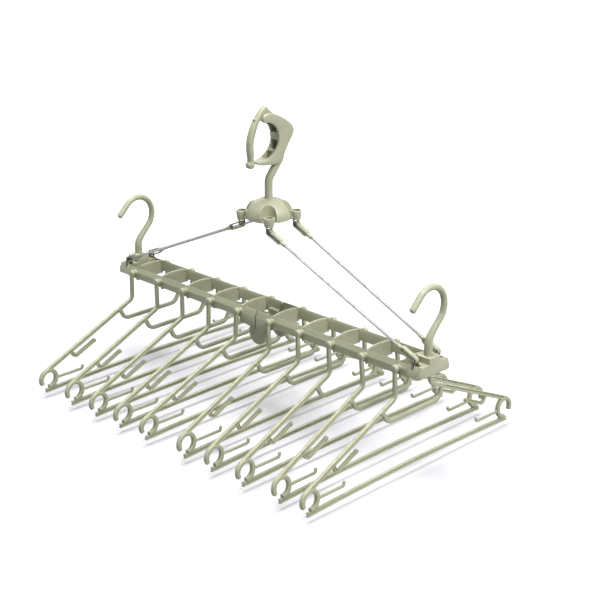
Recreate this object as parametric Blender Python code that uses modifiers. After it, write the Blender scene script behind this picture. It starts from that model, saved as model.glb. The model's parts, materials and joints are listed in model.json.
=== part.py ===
"""Clip drying hanger: ten hanging bars swing under a folding beam, which four wire stays carry
from a domed hub. A swivelling clamp on top grips the pole. Metres, +Z up, +X along the beam."""
import math

import bpy
import bmesh
from mathutils import Matrix, Vector

# The frame: the origin is the centre of a gripped pole, straight above the middle of the beam
HUB_RIM_Z = 0.131
HUB_HEIGHT = 0.0270
POLE_OVER_HUB = 0.082
POLE_HEIGHT = HUB_RIM_Z + HUB_HEIGHT + POLE_OVER_HUB
BEAM_Z = -POLE_HEIGHT
FIT_GAP = 0.0003
CUT_OVERRUN = 0.002

# The row of hangers
HANGER_COUNT = 10
HANGER_PITCH = 0.0564
MIDDLE_EXTRA = 0.0057
ROW_REACH = (HANGER_COUNT - 1) / 2 * HANGER_PITCH + MIDDLE_EXTRA / 2
HANGER_SWINGS_DEG = (-2.3, -0.1, -0.9, -2.4, -3.2, 3.3, 1.8, 2.4, 5.9, 2.1)

# One hanger, in its own upright plane: y outwards from the middle, z down from its pivots
BAR_WIDTH = 0.0052
BAR_THICKNESS = 0.0042
RAIL_OUTER_Y = 0.0276
RAIL_BOSS_HEIGHT = 0.0033
RAIL_BOSS_FACE_Y = RAIL_OUTER_Y + RAIL_BOSS_HEIGHT
LEG_GAP = 0.0031
LEG_Y = RAIL_BOSS_FACE_Y + LEG_GAP
LEG_DROP = 0.0424
LEG_BEND_RADIUS = 0.009
RING_Y = 0.1884
RING_DROP = 0.1252
RING_RADIUS = 0.0128
RING_SINK = 0.0012
SHOULDER_REACH = 0.0053
SHOULDER_END_Y = RING_Y + SHOULDER_REACH
SHOULDER_END_DROP = RING_DROP - RING_RADIUS + RING_SINK
SHOULDER_SLOPE = (SHOULDER_END_DROP - LEG_DROP) / (SHOULDER_END_Y - LEG_Y)
RING_BAR = 0.0060
RING_THICKNESS = 0.0060
RING_OPENING_DEG = 65.0
CROSSBAR_REACH = 0.0235
CROSSBAR_JOIN_Y = LEG_Y + CROSSBAR_REACH
CROSSBAR_JOIN_DROP = LEG_DROP + CROSSBAR_REACH * SHOULDER_SLOPE
CROSSBAR_INSET = 0.0085
CROSSBAR_DEPTH = 0.0171
CROSSBAR_CORNER_Y = CROSSBAR_JOIN_Y - CROSSBAR_INSET
CROSSBAR_DROP = CROSSBAR_JOIN_DROP + CROSSBAR_DEPTH
CROSSBAR_RADIUS = 0.0130
CROSSBAR_WIDTH = 0.0056
PRONG_REACH = 0.0056
PRONG_STEP = 0.0050
PRONG_Y = RING_Y + PRONG_REACH
PRONG_DROP = RING_DROP + RING_RADIUS + PRONG_STEP
BOTTOM_BAR_BOW = 0.0042
CLIP_BAR_END_Y = 0.1300
CLIP_BAR_STEP = 0.0018
CLIP_BAR_DROP = RING_DROP + CLIP_BAR_STEP
CLIP_BAR_WIDTH = 0.0038
CLIP_TIP_RISE = 0.0050
STRAP_ROOT_Y = 0.1475
STRAP_OFFSET = 0.0131
STRAP_LENGTH = 0.0390
STRAP_BEND_RADIUS = 0.0055
STRAP_WIDTH = 0.0044
STRAP_KNOB_RADIUS = 0.0028
PIVOT_DROP = 0.0028
PIN_RADIUS = 0.0020
LEG_HEAD_RADIUS = 0.0041
RAIL_BOSS_RADIUS = 0.0034

# The beam: two ladder halves
RAIL_THICKNESS = 0.0050
RAIL_TOP = 0.0040
RAIL_BOTTOM = -0.0120
RAIL_SHOULDER_Z = -0.0030
RAIL_CREST = 0.0030
RAIL_BEVEL = 0.0016
RAIL_BEVEL_Z = -0.0006
WALL_THICKNESS = 0.0026
WALL_TOP = 0.0030
WALL_ARCH = 0.0033
WALL_BOTTOM = -0.0147
END_GAP = 0.01335
END_BLOCK_LENGTH = 0.0225
END_BLOCK_START = ROW_REACH + END_GAP
END_BLOCK_END = END_BLOCK_START + END_BLOCK_LENGTH
END_BLOCK_STEP = 0.0006
END_BLOCK_HALF_WIDTH = RAIL_OUTER_Y + END_BLOCK_STEP
END_BLOCK_TOP = 0.0049
END_BLOCK_SLOPE = 0.0026
SOCKET_HALF_WIDTH = 0.0105
SOCKET_RISE = 0.0081
SOCKET_TOP = END_BLOCK_TOP + SOCKET_RISE
END_BLOCK_BOTTOM = -0.0104
BEAM_PARTING = 0.0012

# The joint in the middle of the beam
KNUCKLE_Z = -0.0300
KNUCKLE_RADIUS = 0.0155
KNUCKLE_PIN_RADIUS = 0.0028
KNUCKLE_COVER = 0.0012
LUG_PLATE = 0.0036
KNUCKLE_INSET = 0.0030
LUG_OUTER_Y = RAIL_OUTER_Y - KNUCKLE_INSET
LUG_REACH = 0.0205
SKIRT_THICKNESS = 0.0032
SKIRT_TOP = -0.0035
LEFT_SKIRT_REACH = 0.0300
LEFT_SKIRT_BOTTOM = -0.0190
LEFT_SKIRT_DROP_SHARE = 0.11
RIGHT_SKIRT_REACH = 0.0212
RIGHT_SKIRT_BOTTOM = -0.0155
TONGUE_X = 0.0110
TONGUE_BOTTOM = -0.0285

# The hub
HUB_RADIUS = 0.032
HUB_WALL = 0.0026
HUB_RIM_HEIGHT = 0.0030
STEM_RADIUS = 0.0056
NECK_WALL = 0.0032
NECK_RADIUS = STEM_RADIUS + NECK_WALL
NECK_DEPTH = 0.0120
LUG_INSET_X = 0.0058
LUG_INSET_Y = 0.0070
LUG_X = HUB_RADIUS - LUG_INSET_X
LUG_Y = HUB_RADIUS - LUG_INSET_Y
LUG_RADIUS = 0.0078
LUG_WALL = 0.0022
LUG_BORE = LUG_RADIUS - LUG_WALL
LUG_RISE = 0.0095
LUG_SINK = 0.0030
LUG_TOP = HUB_RIM_Z + LUG_RISE
LUG_BOTTOM = HUB_RIM_Z - LUG_SINK
LUG_FLOOR = 0.0030

# The stays, their end links and the staples that these hang on
HUB_BAR_DROP = 0.0070
HUB_BAR_Z = LUG_BOTTOM - HUB_BAR_DROP
BEAM_BAR_INSET = 0.0080
BEAM_BAR_INSET_Y = 0.0066
BEAM_BAR_RISE = 0.0062
BEAM_BAR_X = END_BLOCK_START + BEAM_BAR_INSET
BEAM_BAR_Y = RAIL_OUTER_Y - BEAM_BAR_INSET_Y
BEAM_BAR_Z = END_BLOCK_TOP + BEAM_BAR_RISE
STAPLE_WIRE = 0.0013
STAPLE_SPAN = 0.0094
STAPLE_DEPTH = 0.0070
STAY_WIRE = 0.0016
LINK_THICKNESS = 0.0060
LINK_RIM = 0.0022
LINK_SLOT_HEIGHT = 0.0046
LINK_SLOT_LENGTH = 0.0250
LINK_TAIL_LENGTH = 0.0080
LINK_TAIL_RADIUS = 0.0028
LINK_SEAT = 0.0005

# The hooks on the ends of the beam, in planes across it
SIDE_HOOK_INSET = 0.0110
SIDE_HOOK_X = END_BLOCK_START + SIDE_HOOK_INSET
SIDE_HOOK_BASE_RADIUS = 0.0052
SIDE_HOOK_RADIUS = 0.0039
SIDE_HOOK_NECK_Z = 0.0360
SIDE_HOOK_BOW_Y = 0.0010
SIDE_HOOK_BOW_Z = 0.0740
SIDE_HOOK_BOW_RADIUS = 0.0270
SIDE_HOOK_TIP_Z = 0.0790
SIDE_HOOK_TIP_Y = -0.0320
SPIGOT_RADIUS = 0.0034
SPIGOT_CAP_RADIUS = 0.0058
SPIGOT_CAP_HEIGHT = 0.0030

# The clamp, in the plane across the pole, heights above the pole's centre
RETAINER_RADIUS = 0.0092
RETAINER_HEIGHT = 0.0050
STEM_OVERHANG = 0.0005
STEM_BOTTOM = -POLE_OVER_HUB - NECK_DEPTH - RETAINER_HEIGHT - STEM_OVERHANG
STEM_TOP_Y = 0.0210
STEM_TOP_Z = -0.0320
STEM_BEND_SHARE = 0.5
STEM_BEND_Z = -POLE_OVER_HUB + STEM_BEND_SHARE * (STEM_TOP_Z + POLE_OVER_HUB)
JAW_THICKNESS = 0.0180
JAW_WALL = 0.0034
JAW_COVER = 0.0012
ARM_RADIUS = 0.0036
ARM_THICKNESS = 0.0080
HINGE_Y = -0.0020
HINGE_Z = 0.0250
HINGE_PIN_RADIUS = 0.0022
HINGE_HEAD_RADIUS = 0.0044
HINGE_BOSS_RADIUS = 0.0070
ARM_HEEL_RADIUS = 0.0148
HEEL_GAP = 0.0010
HINGE_SLOT_RADIUS = ARM_HEEL_RADIUS + HEEL_GAP
HINGE_SLOT_REACH = 1.5 * HINGE_SLOT_RADIUS
HINGE_SLOT_DEPTH = 0.7 * HINGE_SLOT_RADIUS
SPRING_WIRE = 0.0004
SPRING_RADIUS = 0.0037
SPRING_TURNS = 2
SPRING_ROOM_RADIUS = 0.0066
SPRING_ROOM_DEPTH = 0.0044

SAGE = (0.485, 0.515, 0.330, 1.0)
SAGE_DEEP = (0.400, 0.430, 0.265, 1.0)
STEEL = (0.56, 0.57, 0.58, 1.0)
STEEL_DARK = (0.20, 0.20, 0.21, 1.0)


def clear_scene():
    """Removes whatever the file holds."""
    for item in list(bpy.data.objects):
        bpy.data.objects.remove(item, do_unlink=True)


def make_collection(name):
    group = bpy.data.collections.new(name)
    bpy.context.scene.collection.children.link(group)
    return group


def make_material(name, colour, roughness, metallic=0.0):
    material = bpy.data.materials.new(name)
    material.use_nodes = True
    shader = material.node_tree.nodes["Principled BSDF"]
    shader.inputs["Base Color"].default_value = colour
    shader.inputs["Roughness"].default_value = roughness
    shader.inputs["Metallic"].default_value = metallic
    return material


def mesh_object(name, mesh):
    item = bpy.data.objects.new(name, mesh)
    PART.objects.link(item)
    return item


def settled(item):
    """Turns a curve, or a mesh with modifiers, into a plain welded mesh object."""
    bpy.context.view_layer.update()
    evaluated = item.evaluated_get(bpy.context.evaluated_depsgraph_get())
    mesh = bpy.data.meshes.new_from_object(evaluated)
    mesh.transform(item.matrix_world)
    name = item.name
    bpy.data.objects.remove(item, do_unlink=True)
    shape = bmesh.new()
    shape.from_mesh(mesh)
    bmesh.ops.remove_doubles(shape, verts=shape.verts, dist=0.000001)
    bmesh.ops.recalc_face_normals(shape, faces=shape.faces)
    shape.to_mesh(mesh)
    shape.free()
    mesh.name = name
    return mesh_object(name, mesh)


def block(name, low, high):
    """A box between two corners."""
    low, high = Vector(low), Vector(high)
    shape = bmesh.new()
    bmesh.ops.create_cube(shape, size=1.0)
    for vert in shape.verts:
        vert.co = Vector((low[k] + (vert.co[k] + 0.5) * (high[k] - low[k]) for k in range(3)))
    mesh = bpy.data.meshes.new(name)
    shape.to_mesh(mesh)
    shape.free()
    return mesh_object(name, mesh)


def rod(name, start, end, radius, sides=12, end_radius=None):
    """A cylinder, or a cone, between two points."""
    start, end = Vector(start), Vector(end)
    shape = bmesh.new()
    bmesh.ops.create_cone(shape, cap_ends=True, segments=sides, radius1=radius,
                          radius2=radius if end_radius is None else end_radius,
                          depth=(end - start).length)
    turn = (end - start).to_track_quat("Z", "Y").to_matrix().to_4x4()
    shape.transform(Matrix.Translation((start + end) / 2) @ turn)
    mesh = bpy.data.meshes.new(name)
    shape.to_mesh(mesh)
    shape.free()
    return mesh_object(name, mesh)


def wire(name, points, radius, closed=False, resolution=2, radii=None):
    """A round wire along points; radii are shares of the radius, one for each point."""
    curve = bpy.data.curves.new(name, "CURVE")
    curve.dimensions = "3D"
    curve.bevel_depth = radius
    curve.bevel_resolution = resolution
    curve.use_fill_caps = True
    spline = curve.splines.new("POLY")
    spline.points.add(len(points) - 1)
    for index, point in enumerate(points):
        spline.points[index].co = (*point, 1.0)
        spline.points[index].radius = radii[index] if radii else 1.0
    spline.use_cyclic_u = closed
    return settled(mesh_object(name, curve))


# Flat shapes are drawn in a plane and set upright: "x" stands for the plane across the X axis,
# drawn as (y, z), and "y" for the plane across the Y axis, drawn as (x, z)
UPRIGHT = {
    "x": Matrix(((0, 0, 1, 0), (1, 0, 0, 0), (0, 1, 0, 0), (0, 0, 0, 1))),
    "y": Matrix(((1, 0, 0, 0), (0, 0, -1, 0), (0, 1, 0, 0), (0, 0, 0, 1))),
}


def flat_curve(name, outlines, thickness, closed):
    curve = bpy.data.curves.new(name, "CURVE")
    curve.dimensions = "2D"
    curve.fill_mode = "BOTH" if closed else "NONE"
    curve.extrude = thickness / 2
    for outline in outlines:
        spline = curve.splines.new("POLY")
        spline.points.add(len(outline) - 1)
        for index, point in enumerate(outline):
            spline.points[index].co = (point[0], point[1], 0.0, 1.0)
        spline.use_cyclic_u = closed
    return mesh_object(name, curve)


def plate(name, plane, offset, outlines, thickness):
    """A flat plate of the outlines, the first outside and any others as holes."""
    item = flat_curve(name, outlines, thickness, True)
    item.matrix_world = Matrix.Translation(offset) @ UPRIGHT[plane]
    return settled(item)


def strip(name, plane, offset, points, width, thickness):
    """A bar of rectangular section that follows points in a plane."""
    item = flat_curve(name, [points], thickness, False)
    item.matrix_world = Matrix.Translation(offset) @ UPRIGHT[plane]
    item = settled(item)
    skin = item.modifiers.new("width", "SOLIDIFY")
    skin.thickness = width
    skin.offset = 0.0
    skin.use_even_offset = True
    return settled(item)


def turned(name, profile, sides):
    """A solid turned about Z from a closed profile of (radius, z), outer side first, top down."""
    shape = bmesh.new()
    verts = [shape.verts.new((radius, 0.0, height)) for radius, height in profile]
    for index, vert in enumerate(verts):
        shape.edges.new((vert, verts[(index + 1) % len(verts)]))
    mesh = bpy.data.meshes.new(name)
    shape.to_mesh(mesh)
    shape.free()
    item = mesh_object(name, mesh)
    screw = item.modifiers.new("turn", "SCREW")
    screw.steps = sides
    screw.render_steps = sides
    screw.use_merge_vertices = True
    screw.merge_threshold = 0.00001
    return settled(item)


def combine(item, others, operation):
    """Joins or cuts a solid with others, which are used up."""
    for other in others:
        step = item.modifiers.new(other.name, "BOOLEAN")
        step.operation = operation
        step.solver = "EXACT"
        step.object = other
        item = settled(item)
        bpy.data.objects.remove(other, do_unlink=True)
    return item


def joined(item, *others):
    return combine(item, others, "UNION")


def cut(item, *others):
    return combine(item, others, "DIFFERENCE")


def finish(item, name, material, smooth=True):
    item.name = name
    item.data.name = name
    item.data.materials.clear()
    item.data.materials.append(material)
    if smooth:
        item.data.shade_smooth()
        item.data.set_sharp_from_angle(angle=math.radians(35))
    return item


def on_axis(item, pivot):
    """Moves an object's origin to its joint, without moving its shape."""
    item.data.transform(Matrix.Translation(-Vector(pivot)))
    item.location = pivot
    return item


def arc(centre, radius, start_deg, end_deg, steps):
    """Points along an arc, both ends included."""
    points = []
    for step in range(steps + 1):
        angle = math.radians(start_deg + (end_deg - start_deg) * step / steps)
        points.append((centre[0] + radius * math.cos(angle), centre[1] + radius * math.sin(angle)))
    return points


def rounded(corners, radius, steps):
    """A path through corners, with each inner corner turned on an arc of the radius."""
    path = [tuple(corners[0])]
    for before, corner, after in zip(corners, corners[1:], corners[2:]):
        before, corner, after = Vector(before), Vector(corner), Vector(after)
        come, leave = (before - corner).normalized(), (after - corner).normalized()
        half = come.angle(leave) / 2
        reach = min(radius / math.tan(half), (before - corner).length / 2, (after - corner).length / 2)
        centre = corner + (come + leave).normalized() * (reach / math.cos(half))
        start, end = corner + come * reach - centre, corner + leave * reach - centre
        for step in range(steps + 1):
            share = step / steps
            spoke = (start * (1 - share) + end * share).normalized() * start.length
            path.append(tuple(centre + spoke))
    path.append(tuple(corners[-1]))
    return path


def station(index):
    """Where hanger number index, from nought, sits along the beam."""
    middle = (HANGER_COUNT - 1) / 2
    side = 1 if index > middle else -1
    return (index - middle) * HANGER_PITCH + side * MIDDLE_EXTRA / 2


def shoulder_drop(y):
    """How far the straight shoulder lies below the beam's datum at a distance y from the middle."""
    return LEG_DROP + (y - LEG_Y) * SHOULDER_SLOPE


def leg_path():
    """The leg and the shoulder of one side, from the leg's head to the top of the tip ring."""
    corners = [(LEG_Y, -PIVOT_DROP), (LEG_Y, -LEG_DROP), (SHOULDER_END_Y, -SHOULDER_END_DROP)]
    return rounded(corners, LEG_BEND_RADIUS, 3)


def strap_path():
    """The hook under the shoulder: a short root, a bend, and an arm along the shoulder towards the middle."""
    along = Vector((1.0, -SHOULDER_SLOPE)).normalized()
    down = Vector((-SHOULDER_SLOPE, -1.0)).normalized()
    root = Vector((STRAP_ROOT_Y, -shoulder_drop(STRAP_ROOT_Y)))
    corner = root + down * STRAP_OFFSET
    tip = corner - along * STRAP_LENGTH
    return rounded([tuple(root), tuple(corner), tuple(tip)], STRAP_BEND_RADIUS, 3)


def clip_path():
    """The short bar inside the tip ring's side, with its upturned tip."""
    corners = [(RING_Y - RING_RADIUS, -CLIP_BAR_DROP), (CLIP_BAR_END_Y, -CLIP_BAR_DROP),
               (CLIP_BAR_END_Y - CLIP_BAR_WIDTH / 2, CLIP_TIP_RISE - CLIP_BAR_DROP)]
    return rounded(corners, CLIP_BAR_WIDTH / 2, 1)


def hanger_side(side):
    """The leg, shoulder, ring, clip bar and strap hook on one side of a hanger."""
    ring = arc((RING_Y, -RING_DROP), RING_RADIUS, RING_OPENING_DEG - 90.0, 270.0, 8)
    shapes = (
        (leg_path(), BAR_WIDTH, BAR_THICKNESS),
        (ring, RING_BAR, RING_THICKNESS),
        (clip_path(), CLIP_BAR_WIDTH, CLIP_BAR_WIDTH * 0.9),
        (strap_path(), STRAP_WIDTH, STRAP_WIDTH * 0.9),
    )
    bars = []
    for points, width, thickness in shapes:
        mirrored = [(side * y, z) for y, z in points]
        bars.append(strip("bar", "x", (0, 0, 0), mirrored, width, thickness))
    tip_y, tip_z = strap_path()[-1]
    thick = STRAP_WIDTH / 2
    bars.append(rod("knob", (-thick, side * tip_y, tip_z), (thick, side * tip_y, tip_z), STRAP_KNOB_RADIUS, 10))
    half = BAR_WIDTH * 0.52
    pin_end = RAIL_OUTER_Y - RAIL_THICKNESS + FIT_GAP * 3
    bars.append(rod("head", (0, side * (LEG_Y - half), -PIVOT_DROP), (0, side * (LEG_Y + half), -PIVOT_DROP),
                    LEG_HEAD_RADIUS, 8))
    bars.append(rod("pin", (0, side * pin_end, -PIVOT_DROP), (0, side * LEG_Y, -PIVOT_DROP), PIN_RADIUS, 8))
    return bars


def hanger_mesh():
    """One hanger, moulded in one piece, hanging from its pivots at the origin."""
    corner = (CROSSBAR_CORNER_Y, -CROSSBAR_DROP)
    join = (CROSSBAR_JOIN_Y, -CROSSBAR_JOIN_DROP)
    crossbar = [(-join[0], join[1]), (-corner[0], corner[1]), corner, join]
    body = strip("crossbar", "x", (0, 0, 0), rounded(crossbar, CROSSBAR_RADIUS, 3), CROSSBAR_WIDTH,
                 BAR_THICKNESS * 1.04)
    pieces = hanger_side(1) + hanger_side(-1)
    steps = 4
    bow = []
    for step in range(steps + 1):
        share = 2 * step / steps - 1
        bow.append((share * PRONG_Y, -PRONG_DROP + BOTTOM_BAR_BOW * (1 - share * share)))
    bottom = strip("bottom", "x", (0, 0, 0), bow, BAR_WIDTH * 0.96, BAR_THICKNESS * 1.02)
    hanger = joined(body, *pieces, bottom)
    hanger.data.transform(Matrix.Translation((0, 0, PIVOT_DROP)))
    return hanger


def make_hangers(material):
    first = hanger_mesh()
    mesh = first.data
    bpy.data.objects.remove(first, do_unlink=True)
    for index in range(HANGER_COUNT):
        item = finish(mesh_object("hanger", mesh), f"hanger_{index + 1:02d}", material)
        item.location = (station(index), 0.0, BEAM_Z - PIVOT_DROP)
        item.rotation_euler = (0.0, -math.radians(HANGER_SWINGS_DEG[index]), 0.0)


def rail(side, start, end):
    """One rail of a ladder half, with its bevelled outer top edge."""
    outer, inner = RAIL_OUTER_Y, RAIL_OUTER_Y - RAIL_THICKNESS
    outline = [(outer, RAIL_BOTTOM), (outer, RAIL_SHOULDER_Z), (inner + RAIL_CREST, RAIL_TOP),
               (inner + RAIL_BEVEL, RAIL_TOP), (inner, RAIL_BEVEL_Z), (inner, RAIL_BOTTOM)]
    outline = [(side * y, z + BEAM_Z) for y, z in outline]
    return plate("rail", "x", ((start + end) / 2, 0, 0), [outline], abs(end - start))


def cross_wall(x, half_width):
    """A wall between the rails, with its top arched."""
    steps = 6
    outline = [(-half_width, BEAM_Z + WALL_BOTTOM), (half_width, BEAM_Z + WALL_BOTTOM)]
    for step in range(steps + 1):
        share = 1 - 2 * step / steps
        outline.append((share * half_width, BEAM_Z + WALL_TOP + WALL_ARCH * (1 - share * share)))
    return plate("wall", "x", (x, 0, 0), [outline], WALL_THICKNESS)


def skirt(side_x, side_y):
    """The deep plate beside the parting line, on the outer face of a rail."""
    near = BEAM_PARTING
    if side_x < 0:
        corner = LEFT_SKIRT_BOTTOM * (1 + LEFT_SKIRT_DROP_SHARE)
        outline = [(near, SKIRT_TOP), (near, corner), (LEFT_SKIRT_REACH, LEFT_SKIRT_BOTTOM),
                   (LEFT_SKIRT_REACH, SKIRT_TOP)]
    else:
        outline = [(near, SKIRT_TOP), (near, LEFT_SKIRT_BOTTOM), (TONGUE_X, TONGUE_BOTTOM),
                   (RIGHT_SKIRT_REACH, RIGHT_SKIRT_BOTTOM), (RIGHT_SKIRT_REACH, SKIRT_TOP)]
    outline = [(side_x * x, z + BEAM_Z) for x, z in outline]
    middle = side_y * (LUG_OUTER_Y + FIT_GAP + SKIRT_THICKNESS / 2)
    return plate("skirt", "y", (0, middle, 0), [outline], SKIRT_THICKNESS)


def knuckle_lug(side_x, side_y, outer):
    """A round lug that carries the beam's middle pin."""
    centre = (0.0, KNUCKLE_Z)
    outline = arc(centre, KNUCKLE_RADIUS, 94.0, 340.0, 12)
    outline += [(LUG_REACH, RAIL_BOTTOM), (LUG_REACH, RAIL_BOTTOM + WALL_THICKNESS),
                (BEAM_PARTING * 2, RAIL_BOTTOM + WALL_THICKNESS), (BEAM_PARTING * 2, RAIL_BOTTOM)]
    outline = [(side_x * x, z + BEAM_Z) for x, z in outline]
    return plate("lug", "y", (0, side_y * (outer - LUG_PLATE / 2), 0), [outline], LUG_PLATE)


def end_block(side):
    """The solid end of a half, with sloped top edges and a raised socket for the side hook."""
    wide, slope, socket = END_BLOCK_HALF_WIDTH, END_BLOCK_HALF_WIDTH - END_BLOCK_SLOPE, SOCKET_HALF_WIDTH
    half = [(wide, END_BLOCK_BOTTOM), (wide, RAIL_SHOULDER_Z), (slope, END_BLOCK_TOP), (socket, END_BLOCK_TOP),
            (socket, SOCKET_TOP)]
    outline = [(y, z + BEAM_Z) for y, z in half] + [(-y, z + BEAM_Z) for y, z in reversed(half)]
    middle = side * (END_BLOCK_START + END_BLOCK_END) / 2
    return plate("end", "x", (middle, 0, 0), [outline], END_BLOCK_LENGTH)


def ladder_half(side):
    """One half of the beam, on the side of the middle that side gives."""
    near, far = side * BEAM_PARTING, side * (END_BLOCK_START + WALL_THICKNESS)
    half_width = RAIL_OUTER_Y - RAIL_THICKNESS / 2
    pieces = [rail(1, near, far)]
    spots = [station(k) for k in range(HANGER_COUNT) if station(k) * side > 0]
    for spot in spots:
        pieces.append(cross_wall(spot, half_width))
    pieces.append(end_block(side))
    for spot in spots:
        for side_y in (-1, 1):
            low = (spot, side_y * half_width, BEAM_Z - PIVOT_DROP)
            high = (spot, side_y * RAIL_BOSS_FACE_Y, BEAM_Z - PIVOT_DROP)
            pieces.append(rod("boss", low, high, RAIL_BOSS_RADIUS, 8))
    lug_outer = LUG_OUTER_Y if side > 0 else LUG_OUTER_Y - LUG_PLATE - FIT_GAP
    bed_y = LUG_OUTER_Y - LUG_PLATE * 1.5
    bed = sorted((side * BEAM_PARTING * 2.5, side * LUG_REACH * 0.97))
    for side_y in (-1, 1):
        pieces.append(skirt(side, side_y))
        pieces.append(knuckle_lug(side, side_y, lug_outer))
        across = sorted((side_y * (bed_y - LUG_PLATE), side_y * half_width))
        pieces.append(block("bed", (bed[0], across[0], BEAM_Z + RAIL_BOTTOM + WALL_THICKNESS / 2),
                            (bed[1], across[1], BEAM_Z + RAIL_BOTTOM + WALL_THICKNESS * 1.5)))
    half = joined(rail(-1, near, far), *pieces)
    return cut(half, *beam_holes(side))


def beam_holes(side):
    """Blind holes for the hanger pins, and the holes for the staples, the side hook and the middle pin."""
    cutters = []
    floor_y = RAIL_OUTER_Y - RAIL_THICKNESS + FIT_GAP * 2
    for index in range(HANGER_COUNT):
        if station(index) * side > 0:
            for side_y in (-1, 1):
                start = (station(index), side_y * floor_y, BEAM_Z - PIVOT_DROP)
                end = (station(index), side_y * (RAIL_BOSS_FACE_Y + CUT_OVERRUN), BEAM_Z - PIVOT_DROP)
                cutters.append(rod("hole", start, end, PIN_RADIUS + FIT_GAP, 8))
    block_top = BEAM_Z + END_BLOCK_TOP
    for side_y in (-1, 1):
        for leg in (-1, 1):
            y = side_y * BEAM_BAR_Y + leg * STAPLE_SPAN / 2
            start = (side * BEAM_BAR_X, y, block_top - STAPLE_DEPTH - FIT_GAP)
            end = (side * BEAM_BAR_X, y, block_top + CUT_OVERRUN)
            cutters.append(rod("hole", start, end, STAPLE_WIRE + FIT_GAP, 6))
    x = side * SIDE_HOOK_X
    bottom = BEAM_Z + END_BLOCK_BOTTOM
    cutters.append(rod("hole", (x, 0, bottom - CUT_OVERRUN), (x, 0, BEAM_Z + SOCKET_TOP + CUT_OVERRUN),
                       SPIGOT_RADIUS + FIT_GAP, 12))
    cutters.append(rod("hole", (x, 0, bottom - CUT_OVERRUN), (x, 0, bottom + SPIGOT_CAP_HEIGHT + 2 * FIT_GAP),
                       SPIGOT_CAP_RADIUS + FIT_GAP, 12))
    front = -LUG_OUTER_Y + KNUCKLE_COVER if side > 0 else -LUG_OUTER_Y
    z = BEAM_Z + KNUCKLE_Z
    cutters.append(rod("bore", (0, front, z), (0, LUG_OUTER_Y + CUT_OVERRUN, z), KNUCKLE_PIN_RADIUS + FIT_GAP, 10))
    return cutters


def make_beam(material, steel):
    for side, name in ((-1, "beam_left"), (1, "beam_right")):
        finish(ladder_half(side), name, material)
    front = -LUG_OUTER_Y + KNUCKLE_COVER + FIT_GAP
    z = BEAM_Z + KNUCKLE_Z
    finish(rod("pin", (0, front, z), (0, LUG_OUTER_Y, z), KNUCKLE_PIN_RADIUS, 10), "beam_hinge_pin", steel)


def corner_name(side_x, side_y):
    """Names one of the four corners: front is towards -Y, and right is towards +X."""
    return ("front" if side_y < 0 else "back") + ("_left" if side_x < 0 else "_right")


def staple(x, y, bar_z, foot_z):
    """A wire staple with its crossbar along Y and its legs running to foot_z."""
    half = STAPLE_SPAN / 2
    corners = [(-half, foot_z), (-half, bar_z), (half, bar_z), (half, foot_z)]
    path = rounded(corners, STAPLE_WIRE * 1.5, 2)
    return wire("staple", [(x, y + along, z) for along, z in path], STAPLE_WIRE, resolution=1)


def make_staples(steel):
    places = [(sx, sy) for sx in (-1, 1) for sy in (-1, 1)]
    top = BEAM_Z + LUG_BOTTOM + LUG_FLOOR + STAPLE_WIRE * 2
    foot = BEAM_Z + END_BLOCK_TOP - STAPLE_DEPTH
    for sx, sy in places:
        upper = staple(sx * LUG_X, sy * LUG_Y, BEAM_Z + HUB_BAR_Z, top)
        finish(upper, f"hub_staple_{corner_name(sx, sy)}", steel)
        lower = staple(sx * BEAM_BAR_X, sy * BEAM_BAR_Y, BEAM_Z + BEAM_BAR_Z, foot)
        finish(lower, f"beam_staple_{corner_name(sx, sy)}", steel)


def stay_span():
    """The stay's length between the two crossbars that it hangs on."""
    along = Vector((BEAM_BAR_X - LUG_X, BEAM_BAR_Y - LUG_Y, BEAM_BAR_Z - HUB_BAR_Z))
    return along.length


def link_solid(start, direction):
    """An end link of a stay, along local X: a slotted eye with a round tail for the wire."""
    radius = LINK_SLOT_HEIGHT / 2
    first, last = start, start + direction * (LINK_SLOT_LENGTH - LINK_SLOT_HEIGHT)
    left, right = min(first, last), max(first, last)
    rings = []
    for size in (radius + LINK_RIM, radius):
        rings.append(arc((right, 0.0), size, -90.0, 90.0, 6) + arc((left, 0.0), size, 90.0, 270.0, 6))
    eye = plate("link", "y", (0, 0, 0), rings, LINK_THICKNESS)
    base = last + direction * (radius + LINK_RIM / 3)
    tip = base + direction * LINK_TAIL_LENGTH
    tail = rod("tail", (base, 0, 0), (tip, 0, 0), LINK_TAIL_RADIUS, 10, LINK_TAIL_RADIUS * 0.8)
    floor = base + direction * LINK_RIM
    bore = rod("bore", (floor, 0, 0), (tip + direction * CUT_OVERRUN, 0, 0), STAY_WIRE + FIT_GAP, 8)
    return cut(joined(eye, tail), bore), floor


def stay_parts():
    """The wire and the pair of links of one stay, lying along X from the hub's crossbar."""
    seat = LINK_SLOT_HEIGHT / 2 - STAPLE_WIRE - LINK_SEAT
    span = stay_span()
    upper, upper_floor = link_solid(seat, 1)
    lower, lower_floor = link_solid(span - seat, -1)
    straight = rod("wire", (upper_floor + FIT_GAP, 0, 0), (lower_floor - FIT_GAP, 0, 0), STAY_WIRE, 8)
    return {"stay_wire": straight, "stay_hub_link": upper, "stay_beam_link": lower}


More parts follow.
